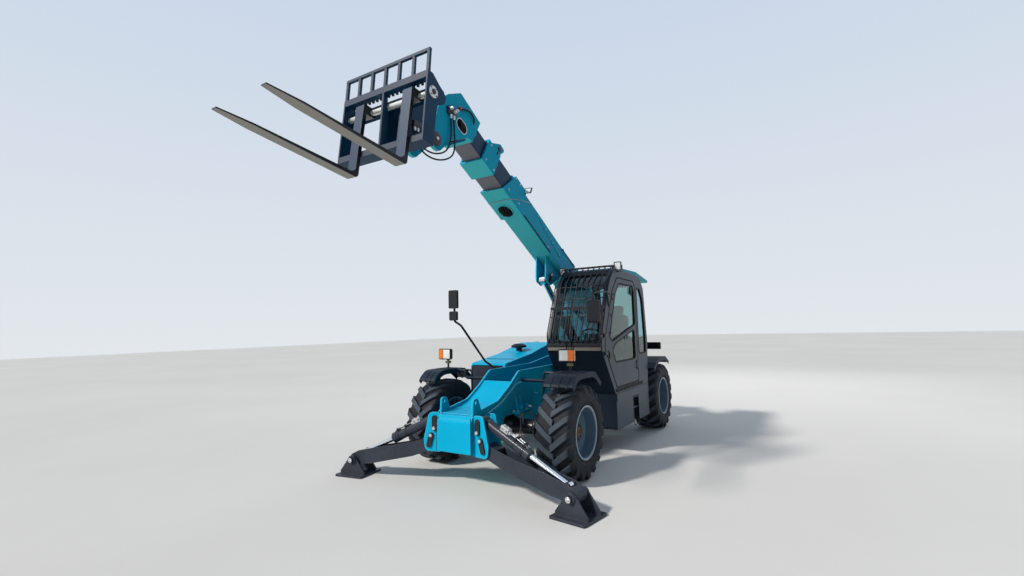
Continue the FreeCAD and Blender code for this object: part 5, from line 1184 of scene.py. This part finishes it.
work_lamp("roof_lamp_left", at(1.196, 1.475, 2.772), 0.057, 0.066, -Y, Z, "chassis")
work_lamp("roof_lamp_right", at(0.290, 1.42, 2.750), 0.048, 0.058, -Y, Z, "chassis")
add_pipes("roof_lamp_posts", [[at(1.196, 1.505, 2.690), at(1.180, 1.515, 2.682), at(1.140, 1.52, 2.700)],
                              [at(0.290, 1.450, 2.676), at(0.305, 1.460, 2.670), at(0.345, 1.47, 2.690)]], 0.009, black_paint,
          "chassis")
beacon_place = at(0.385, 2.70, 2.762)
foot, dome = bmesh.new(), bmesh.new()
lathe(foot, [(0, 0), (0.060, 0), (0.062, 0.010), (0.050, 0.020), (0.047, 0.032), (0, 0.032)], beacon_place, Z, 32)
lathe(dome, [(0, 0.031), (0.045, 0.031)] + [pair for rib in range(5) for pair in (
    (0.0455, 0.036 + rib * 0.010), (0.0435, 0.041 + rib * 0.010))] + [(0.041, 0.088), (0.032, 0.101), (0.018, 0.108), (0, 0.110)],
      beacon_place, Z, 32)
add_piece("beacon_foot", foot, black_paint, "chassis", bevel=0.001)
add_piece("beacon_dome", dome, amber, "chassis", angle=60)
print("two roof lamps and a beacon")

# %% [markdown]
# Through the glass one sees the driver's place. The seat is upholstered: thick cushions that bulge between
# their seams. Each starts as a finely divided cube whose points are drawn towards a rounded box, then the
# face that carries the driver is raised in the middle and pinched along its seams. The column, the wheel and
# the side consoles are hard plastic around it.

# %% Driver's place
cloth = finish("seat_cloth", "1c1f25", "262a31", rough=0.85, edge=0.0, skin=1400, bump=0.35, tone=6.0)


def cushion(name, middle, right, up, out, half, seams, crown=0.25):
    """A padded block: half sizes along right, up and out; the face along out has seams across it."""
    build = bmesh.new()
    bmesh.ops.create_cube(build, size=2)
    bmesh.ops.subdivide_edges(build, edges=build.edges[:], cuts=19, use_grid_fill=True)
    for vert in build.verts:
        a, b, c = vert.co
        pull = max(abs(a), abs(b), abs(c)) / (abs(a) ** 6 + abs(b) ** 6 + abs(c) ** 6) ** (1 / 6)
        a, b, c = a * pull, b * pull, c * pull
        if c > 0:
            puff = crown * (1 - a * a) * (1 - b * b)
            pinch = sum(0.16 * math.exp(-(((a if way == "a" else b) - place) / 0.05) ** 2) for way, place in seams)
            c += (puff - pinch) * c
        vert.co = middle + right * a * half[0] + up * b * half[1] + out * c * half[2]
    piece = add_piece(name, build, cloth, "chassis", angle=80)
    return piece


SEAT_X = 0.7425
lean = Vector((0, -math.cos(math.radians(12)), math.sin(math.radians(12))))
back_up = X.cross(-lean).normalized()
back_up = back_up if back_up.z > 0 else -back_up
cushion("seat_cushion", at(SEAT_X, 2.14, 1.475), X, Y, Z, (0.235, 0.245, 0.060), [("a", -0.6), ("a", 0.6), ("b", 0.15)])
cushion("seat_back", at(SEAT_X, 2.47, 1.790), X, back_up, lean, (0.225, 0.265, 0.060),
        [("a", -0.6), ("a", 0.6), ("b", -0.3), ("b", 0.3)])
cushion("seat_headrest", at(SEAT_X, 2.545, 2.130), X, back_up, lean, (0.130, 0.070, 0.045), [])
for side, across in ((1, "left"), (-1, "right")):
    cushion("armrest_" + across, at(SEAT_X + side * 0.262, 2.24, 1.665), X, Y, Z, (0.028, 0.150, 0.022), [], 0.15)
frame_of_seat = bmesh.new()
loft(frame_of_seat, [[at(SEAT_X + point.x * share, 2.16 + point.y * share, level) for point in plate(0.20, 0.22, 0.04)]
                     for level, share in ((0.945, 1.0), (0.965, 1.0), (1.02, 0.82), (1.34, 0.82), (1.40, 1.0), (1.416, 1.0))])
for fold in range(6):
    strip(frame_of_seat, [point * 0.87 for point in plate(0.20, 0.22, 0.04)], 0.02, at(SEAT_X, 2.16, 1.055 + fold * 0.046), X, Y,
          Z * 0.024)
for across in (-0.262, 0.262):
    prism(frame_of_seat, rounded([(2.36, 1.60), (2.42, 1.60), (2.42, 1.66), (2.20, 1.652), (2.20, 1.632)]),
          at(SEAT_X + across - 0.008, 0, 0), Y, Z, X * 0.016)
seat_base = add_piece("seat_base", frame_of_seat, plastic, "chassis", bevel=0.003)
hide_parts("cab_interior")
column = bmesh.new()
loft(column, [[at(SEAT_X + point.x * share, station + point.y * share, level) for point in plate(0.060, 0.075, 0.02)]
              for station, level, share in ((1.400, 0.922, 1.5), (1.402, 0.98, 1.1), (1.43, 1.40, 1.0), (1.47, 1.60, 1.25),
                                            (1.52, 1.665, 1.1))])
wheel_axis = Vector((0, 0.50, 0.866))
wheel_place = at(SEAT_X, 1.545, 1.725)
lathe(column, [(0.185 + 0.014 * math.cos(math.radians(30 * step)), 0.014 * math.sin(math.radians(30 * step)))
               for step in range(12)], wheel_place, wheel_axis, 56, closed=True)
lathe(column, [(0, -0.035), (0.040, -0.035), (0.048, 0.0), (0.040, 0.014), (0, 0.018)], wheel_place, wheel_axis, 28)
lathe(column, [(0, -0.09), (0.022, -0.09), (0.026, -0.03), (0, -0.03)], wheel_place, wheel_axis, 20)
for turn in (90, 210, 330):
    way = (X * math.cos(math.radians(turn)) + wheel_axis.cross(X) * math.sin(math.radians(turn))).normalized()
    prism(column, [(0.030, -0.016), (0.180, -0.011), (0.180, 0.011), (0.030, 0.016)], wheel_place - wheel_axis * 0.012, way,
          wheel_axis.cross(way), wheel_axis * 0.010)
for side in (-1, 1):
    prism(column, [(0.03, -0.006), (0.15, -0.005), (0.15, 0.005), (0.03, 0.006)], wheel_place - wheel_axis * 0.06, X * side, Y,
          wheel_axis * 0.010)
add_piece("steering_column", column, plastic, "chassis", bevel=0.002)
consoles = bmesh.new()
for low_x, high_x, front, rear, top in ((0.362, 0.482, 1.55, 2.50, 1.52), (1.030, 1.110, 2.36, 2.60, 1.30)):
    prism(consoles, rounded([(front, 0.93), (rear, 0.93), (rear, top, 0.04), (front + 0.28, top, 0.10), (front, top - 0.25, 0.04)]),
          at(low_x, 0, 0), Y, Z, X * (high_x - low_x))
lathe(consoles, [(0, 0), (0.030, 0), (0.026, 0.02), (0.010, 0.035), (0.010, 0.11), (0.022, 0.13), (0.026, 0.19), (0.016, 0.215),
                 (0, 0.22)], at(0.422, 1.98, 1.515), Vector((0, -0.15, 1)), 24)
prism(consoles, plate(0.07, 0.05, 0.012), at(0.455, 1.46, 1.66), X, Vector((0, 0.3, 1)).normalized(), Y * 0.03)
prism(consoles, rounded([(1.20, 0.922), (2.78, 0.922), (2.80, 0.936), (1.19, 0.936)]), at(0.362, 0, 0), Y, Z, X * 0.76)
for across in (0.62, 0.80):
    prism(consoles, plate(0.045, 0.07, 0.01), at(across, 1.33, 0.99), X, Vector((0, 0.75, 0.66)).normalized(), Y * 0.012)
add_piece("consoles_and_mat", consoles, plastic, "chassis", bevel=0.003)
print("driver's place")

# %% [markdown]
# Everything on the boom is placed by how far along the boom it is, how far over its middle line and how far
# to the left, because that is how its maker would measure it. One small function turns such a place into the
# frame. The sections slide in each other, so each fitting rides on the section that it is bolted to.

# %% Fittings of the boom's outer section
BOOM_PIVOT, BOOM_RISE = Vector((0, 3.67, 1.69)), math.radians(29.5)
ALONG = Vector((0, -math.cos(BOOM_RISE), math.sin(BOOM_RISE)))
OVER = Vector((0, math.sin(BOOM_RISE), math.cos(BOOM_RISE)))
fitting_red = finish("red_fitting", "b3141c", "c01a20", rough=0.35, coat=0.3, edge=0.002)
# Painted shade: a near-black finish for flat plates that stand for the dark inside of openings and slots.
painted_shade_black = finish("painted_shade_black", "07090c", "0b0e12", rough=0.8, edge=0.0, shine=0.1)


def boom(across, along, over):
    """A place in the frame from the boom's own measures."""
    return BOOM_PIVOT + X * across + ALONG * along + OVER * over


def slot(half_long, half_wide, steps=10):
    """Outline of a slot with round ends, longer along u."""
    points = []
    for end, first in ((half_long - half_wide, -90), (half_wide - half_long, 90)):
        for step in range(steps + 1):
            turn = math.radians(first + 180 * step / steps)
            points.append(Vector((end + half_wide * math.cos(turn), half_wide * math.sin(turn))))
    return points


rims, holes = bmesh.new(), bmesh.new()
under, mouth = boom(-0.01, 4.17, -0.2075), slot(0.125, 0.105)
strip(rims, moved_in(mouth, -0.012), 0.016, under, ALONG, X, OVER * -0.012)
# Painted shade: a dark plate in the hose mouth stands for its inside.
prism(holes, mouth, under, ALONG, X, OVER * -0.003)
add_piece("hose_mouth_rim", rims, teal, "boom_outer", bevel=0.002)
add_piece("hose_mouth_painted_shade", holes, painted_shade_black, "boom_outer")
add_pipes("hose_mouth_pipes", [[boom(x, 4.06, -0.2), boom(x, 4.09, -0.222), boom(x + 0.01, 4.17, -0.229),
                                boom(x + 0.02, 4.24, -0.222), boom(x + 0.02, 4.27, -0.2)] for x in (-0.08, -0.045, 0.0, 0.04)],
          0.0105, rubber, "boom_outer")
add_pipes("outer_pale_pipe", [[boom(-0.19, 4.375, -0.212), boom(0.06, 4.39, -0.215), boom(0.2, 4.4, -0.215),
                               boom(0.211, 4.35, -0.19), boom(0.21, 4.2, -0.06), boom(0.207, 4.1, 0.0),
                               boom(0.186, 3.97, 0.09), boom(0.183, 3.86, 0.165), boom(0.15, 3.82, 0.185)]],
          0.006, steel, "boom_outer")
add_pipes("outer_side_pipes", [[boom(0.183, 2.741, 0.147), boom(0.183, 2.46, 0.157), boom(0.183, 2.179, 0.163)],
                               [boom(0.184, 3.96, -0.15), boom(0.184, 3.5, -0.155), boom(0.184, 3.05, -0.155)]],
          0.007, black_paint, "boom_outer")

rails, clips, bolts = bmesh.new(), bmesh.new(), bmesh.new()
rail_start, rail_end = boom(0.176, 2.716, -0.023), boom(0.176, 3.683, 0.128)
rail_way = (rail_end - rail_start).normalized()
rail_up = X.cross(rail_way).normalized()
rail_length = (rail_end - rail_start).length
prism(rails, rounded([(0, -0.016, 0.01), (rail_length, -0.016, 0.01), (rail_length, 0.016, 0.01), (0, 0.016, 0.01)]),
      rail_start, rail_way, rail_up, X * 0.009)
for share in (0.06, 0.35, 0.65, 0.94):
    nut(bolts, rail_start + rail_way * rail_length * share + X * 0.009, X, 0.009, 0.007)
for along in (3.12, 3.5, 3.9):
    prism(clips, [(-0.012, -0.012), (0.012, -0.012), (0.012, 0.012), (-0.012, 0.012)], boom(0.176, along, -0.154), ALONG,
          OVER, X * 0.017)
for along in (2.25, 2.68):
    prism(clips, [(-0.014, -0.012), (0.014, -0.012), (0.014, 0.012), (-0.014, 0.012)], boom(0.176, along, 0.157), ALONG,
          OVER, X * 0.016)
for side in (1, -1):
    for along, over in ((4.42, 0.15), (4.5, -0.13), (4.2, -0.13), (4.3, 0.15)):
        nut(bolts, boom(0.201 * side, along, over), X * side, 0.014, 0.011)
    nut(bolts, boom(0.176 * side, 3.152, -0.132), X * side, 0.016, 0.012)
add_piece("outer_side_rail", rails, teal, "boom_outer", bevel=0.002)
add_piece("outer_pipe_clips", clips, black_paint, "boom_outer", bevel=0.002)
add_piece("outer_bolts", bolts, bolt_head, "boom_outer", bevel=0.001)

caps, keeper_bolts = bmesh.new(), bmesh.new()
for side in (1, -1):
    lathe(caps, button(0.05, 0.018), boom(0.104 * side, 2.76, -0.48), X * side, 32)
    keeper(caps, keeper_bolts, boom(0.104 * side, 2.76, -0.48), OVER, ALONG, X * side, reach=0.085, radius=0.024)
add_piece("lift_pin_caps", caps, keeper_paint, "boom_outer", bevel=0.002)
add_piece("lift_pin_bolts", keeper_bolts, bolt_head, "boom_outer")
work_lamp("boom_lamp", boom(0.235, 4.124, 0.185), 0.058, 0.056, Vector((0.1, -1, -0.15)), OVER, "boom_outer", strap=False)
print("outer section dressed, lift eye at", [round(value, 3) for value in boom(0, 2.76, -0.48)])

# %% [markdown]
# The middle section's collar carries the pins of the extension chain. The head is the busy end: an oval
# opening on its left shows the hoses inside, over a dark plate of painted shade, and hydraulic couplings stand
# beside it for a powered tool.

# %% Collar and boom head
pins, nuts = bmesh.new(), bmesh.new()
for side in (1, -1):
    lathe(pins, button(0.036, 0.016), boom(0.139 * side, 4.88, 0.3), X * side, 28)
    lathe(pins, button(0.02, 0.012), boom(0.19 * side, 4.93, 0.15), X * side, 24)
    for along, over in ((4.9, -0.14), (5.1, -0.14), (5.1, 0.13)):
        nut(nuts, boom(0.19 * side, along, over), X * side, 0.013, 0.01)
add_piece("collar_pins", pins, keeper_paint, "boom_middle", bevel=0.001)
add_piece("collar_nuts", nuts, bolt_head, "boom_middle", bevel=0.001)

rim, dark, blocks, couplings, red_caps = (bmesh.new() for _ in range(5))
window = slot(0.1, 0.07)
for side in (1, -1):
    middle = boom(0.2095 * side, 5.7, -0.18)
    strip(rim, moved_in(window, -0.009), 0.009, middle, ALONG, OVER, X * 0.01 * side)
    # Painted shade: a dark plate in each window stands for its inside.
    prism(dark, window, middle, ALONG, OVER, X * 0.0015 * side)
    lathe(blocks, button(0.085, 0.014), Vector((0.229 * side, -1.871, 4.020)), X * side, 40)
    nut(couplings, Vector((0.242 * side, -1.871, 4.020)), X * side, 0.02, 0.014)
prism(blocks, rounded([(-1.50, 4.40, 0.02), (-1.50, 4.50, 0.02), (-1.66, 4.50, 0.02), (-1.66, 4.40, 0.02)]),
      Vector((0.21, 0, 0)), Y, Z, X * 0.028)
coupling = [(0, 0), (0.017, 0), (0.017, 0.016), (0.021, 0.018), (0.021, 0.034), (0.016, 0.037), (0.014, 0.05), (0, 0.05)]
for y, z in ((-1.53, 4.466), (-1.567, 4.440), (-1.63, 4.466)):
    lathe(couplings, coupling, Vector((0.236, y, z)), X, 24)
lathe(red_caps, coupling, Vector((0.21, -1.44, 4.537)), X, 24)
ferrule = [(0, 0), (0.016, 0), (0.016, 0.03), (0.0135, 0.034), (0.0135, 0.05), (0, 0.05)]
for y in (-1.606, -1.549):
    lathe(couplings, ferrule, Vector((0.232, y, 4.402)), -Z, 20)
add_piece("head_window_rims", rim, bolt_head, "boom_inner", bevel=0.001)
add_piece("head_window_painted_shade", dark, painted_shade_black, "boom_inner")
add_piece("head_blocks", blocks, keeper_paint, "boom_inner", bevel=0.002)
add_piece("head_couplings", couplings, bolt_head, "boom_inner")
add_piece("head_red_cap", red_caps, fitting_red, "boom_inner")
add_pipes("head_window_pipes", [[boom(0.2, 5.63 + step, -0.23), boom(0.222, 5.65 + step, -0.19), boom(0.224, 5.68 + step, -0.15),
                                 boom(0.2, 5.7 + step, -0.12)] for step in (0.0, 0.03, 0.06)], 0.009, rubber, "boom_inner")
add_pipes("head_bridge_pipe", [[Vector(place) for place in (
    (0.225, -1.40, 4.545), (0.24, -1.30, 4.575), (0.24, -1.19, 4.555), (0.225, -1.12, 4.49), (0.2, -1.12, 4.45))]],
          0.011, rubber, "boom_inner")
print("head window at", [round(value, 3) for value in boom(0.21, 5.7, -0.18)])

# %% [markdown]
# Two hoses hang from the head to the fork carriage, which tilts. Each is a tube round
# one smooth line of a few points: straight out of its ferrule, down in a sagging bend and up into the carriage.
# The line gives the real length of each hose.

# %% Hoses at the head
def hose_line(name, route, diameter):
    """A tube mesh round a smooth line, with the line's points and length."""
    data = bpy.data.curves.new(name, "CURVE")
    data.dimensions = "3D"
    data.resolution_u = 12
    line = data.splines.new("NURBS")
    line.points.add(len(route) - 1)
    for point, place in zip(line.points, route):
        point.co = (*place, 1)
    line.order_u = 3
    line.use_endpoint_u = True
    holder = add_object(name + "_line", data)
    path = [vert.co.copy() for vert in bpy.data.meshes.new_from_object(holder).vertices]
    length = line.calc_length()
    data.bevel_depth = diameter / 2
    data.bevel_resolution = 4
    data.use_fill_caps = True
    mesh = bpy.data.meshes.new_from_object(holder)
    bpy.data.objects.remove(holder)
    mesh.shade_smooth()
    mesh.materials.clear()
    mesh.materials.append(rubber)
    return add_object(name, mesh), path, length


def head_hose(name, route, diameter=0.019):
    hose, path, length = hose_line(name, [Vector(place) for place in route], diameter)
    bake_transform(hose)
    return round(length, 3)


near = head_hose("tilt_hose_near", [(0.232, -1.606, 4.353), (0.232, -1.606, 4.26), (0.247, -1.625, 4.10), (0.25, -1.70, 3.92),
                                    (0.235, -1.88, 3.83), (0.19, -2.02, 3.85), (0.16, -2.09, 3.95), (0.156, -2.09, 4.04)])
far = head_hose("tilt_hose_far", [(0.232, -1.549, 4.353), (0.232, -1.549, 4.26), (0.25, -1.555, 4.05), (0.258, -1.61, 3.87),
                                  (0.245, -1.85, 3.76), (0.2, -2.04, 3.79), (0.162, -2.14, 3.92), (0.156, -2.14, 4.04)])
ends = bmesh.new()
for y in (-2.09, -2.14):
    lathe(ends, ferrule, Vector((0.156, y, 4.09)), -Z, 20)
add_piece("carriage_ferrules", ends, bolt_head, "fork_carriage")
block = bmesh.new()
prism(block, rounded([(-2.05, 4.085, 0.008), (-2.05, 4.15, 0.008), (-2.18, 4.15, 0.008), (-2.18, 4.085, 0.008)]),
      Vector((0.134, 0, 0)), Y, Z, X * 0.052)
add_piece("carriage_port_block", block, keeper_paint, "fork_carriage", bevel=0.003)
print("hoses", near, far, "m long")

# %% [markdown]
# On the carriage, the fork shaft is held at each end by a flanged ring and a cap. Small teeth stand in a row
# under the top beam, where the forks lock.

# %% Fork carriage
flanges, caps, teeth, bolts = (bmesh.new() for _ in range(4))
for side in (1, -1):
    shaft = Vector((0.6245 * side, -2.379, 4.253))
    lathe(flanges, [(0.0325, 0), (0.064, 0), (0.064, 0.01), (0.058, 0.014), (0.045, 0.014), (0.0325, 0.012)], shaft, X * side,
          40, closed=True)
    for turn in range(4):
        around = math.radians(45 + 90 * turn)
        nut(bolts, shaft + (Y * math.cos(around) + Z * math.sin(around)) * 0.052 + X * 0.0135 * side, X * side, 0.007, 0.006)
    lathe(caps, button(0.0295, 0.006), Vector((0.6395 * side, -2.379, 4.253)), X * side, 32)
for step in range(19):
    across = -0.54 + 0.06 * step
    prism(teeth, [(-0.012, 0), (0.012, 0), (0.012, 0.02), (-0.012, 0.02)], Vector((across, -2.383, 4.37)), X, Y, Z * 0.03)
add_piece("flange_bolts", bolts, keeper_paint, "fork_carriage")
add_piece("shaft_flanges", flanges, bolt_head, "fork_carriage", bevel=0.001)
add_piece("shaft_caps", caps, keeper_paint, "fork_carriage", bevel=0.001)
add_piece("carriage_teeth", teeth, keeper_paint, "fork_carriage")
print("carriage dressed")

# %% [markdown]
# What is left is on the chassis: weld beads where plates were joined, the panel in front of the engine, tubes
# that carry the fenders, the hydraulic flange over the front axle and the tow pin at the back. They are small,
# yet they are what tells a welded frame from a plain block.

# %% Chassis fittings
# Painted highlight: the frame's weld beads are pale teal so that they draw the sunlit edge lines of the plates.
teal_painted_highlight = finish("teal_painted_highlight", "8fdbe6", "a2e4ec", rough=0.4, edge=0.0, shine=0.2)
seam = ((-0.70, 0.848), (-0.653, 0.863), (-0.412, 0.93), (-0.188, 1.046), (-0.05, 1.12), (0.03, 1.137), (0.14, 1.137))
add_pipes("frame_weld_beads_painted_highlight", [
    *[[at(x, *place) for place in seam] for x in (0.262, -0.262)],
    *[[at(x, *place) for place in places] for x in (0.251, -0.251) for places in
      (((0.22, 1.09), (0.28, 1.085)), ((0.47, 0.955), (0.54, 0.935)))]], 0.0055, teal_painted_highlight, "chassis")
add_pipes("nose_weld_beads", [[at(x, -1.049, z) for z in (0.42, 0.6, 0.835)] for x in (-0.258, 0.25)], 0.004, black_paint,
          "chassis")

panel, top_slot, frame_strip = bmesh.new(), bmesh.new(), bmesh.new()
face = at(0, 0.7755, 0)
outline = rounded([(-1.075, 0.80, 0.03), (-0.48, 0.80, 0.03), (-0.48, 1.275, 0.03), (-1.06, 1.275, 0.03)])
prism(panel, outline, face, X, Z, Y * -0.008)
# Painted shade: a dark slot on the hood top stands for the gap's inside.
prism(top_slot, slot(0.27, 0.016), Vector((-0.77, 0.87, 1.3595)), X, Vector((0, 0.991, 0.134)), Z * 0.002)
strip(frame_strip, moved_in(outline, -0.012), 0.012, face, X, Z, Y * -0.012)
add_piece("hood_front_panel", panel, dark_paint, "engine_cover", bevel=0.002)
add_piece("hood_top_slot_painted_shade", top_slot, painted_shade_black, "engine_cover")
add_piece("hood_front_seal", frame_strip, rubber, "engine_cover", bevel=0.001)

add_pipes("fender_tubes", [[Vector((side * x, y, z)) for x, y, z in (
    (0.85, -0.16, 1.262), (0.68, -0.16, 1.272), (0.60, -0.16, 1.27), (0.585, -0.16, 1.20), (0.585, -0.17, 0.95),
    (0.58, -0.20, 0.70))] for side in (1, -1)], 0.016, black_paint, "chassis")

flange, nuts = bmesh.new(), bmesh.new()
for side in (1, -1):
    prism(flange, rounded([(0.249, -0.46, 0.01), (0.375, -0.46, 0.03), (0.375, -0.10, 0.03), (0.249, -0.10, 0.01)]),
          Vector((0, 0, 0.766)), X * side, Y, Z * 0.02)
    lathe(flange, [(0, 0), (0.036, 0), (0.036, 0.012), (0.028, 0.016), (0.028, 0.055), (0.02, 0.062), (0, 0.062)],
          Vector((0.315 * side, -0.16, 0.785)), Z, 28)
    for x, y in ((0.35, -0.43), (0.35, -0.22), (0.28, -0.43)):
        nut(nuts, Vector((x * side, y, 0.786)), Z, 0.014, 0.013)
    lathe(nuts, ferrule, Vector((0.345 * side, -0.16, 0.82)), X * side, 20)
add_piece("axle_flanges", flange, teal, "chassis", bevel=0.002)
add_piece("axle_flange_nuts", nuts, bolt_head, "chassis", bevel=0.001)
add_pipes("axle_pipes", [[Vector((side * x, y, z)) for x, z in ((0.36, 0.77), (0.38, 0.68), (0.375, 0.56), (0.34, 0.47))]
                         for side in (1, -1) for y in (-0.42, -0.36, -0.14)], 0.008, steel, "chassis")

tow, pin = bmesh.new(), bmesh.new()
for low in (0.86, 0.99):
    prism(tow, rounded([(-0.08, 0), (0.08, 0), (0.08, 0.06, 0.03), (-0.08, 0.06, 0.03)]), Vector((0, 4.009, low)), X, Y,
          Z * 0.025)
lathe(pin, [(0, 0), (0.013, 0.008), (0.013, 0.23), (0.022, 0.232), (0.022, 0.245), (0, 0.247)], Vector((0, 4.045, 0.81)), Z, 24)
add_piece("tow_clevis", tow, dark_paint, "chassis", bevel=0.003)
add_piece("tow_pin", pin, bolt_head, "chassis", bevel=0.001)
print("chassis dressed")

# %% End of the script
import json
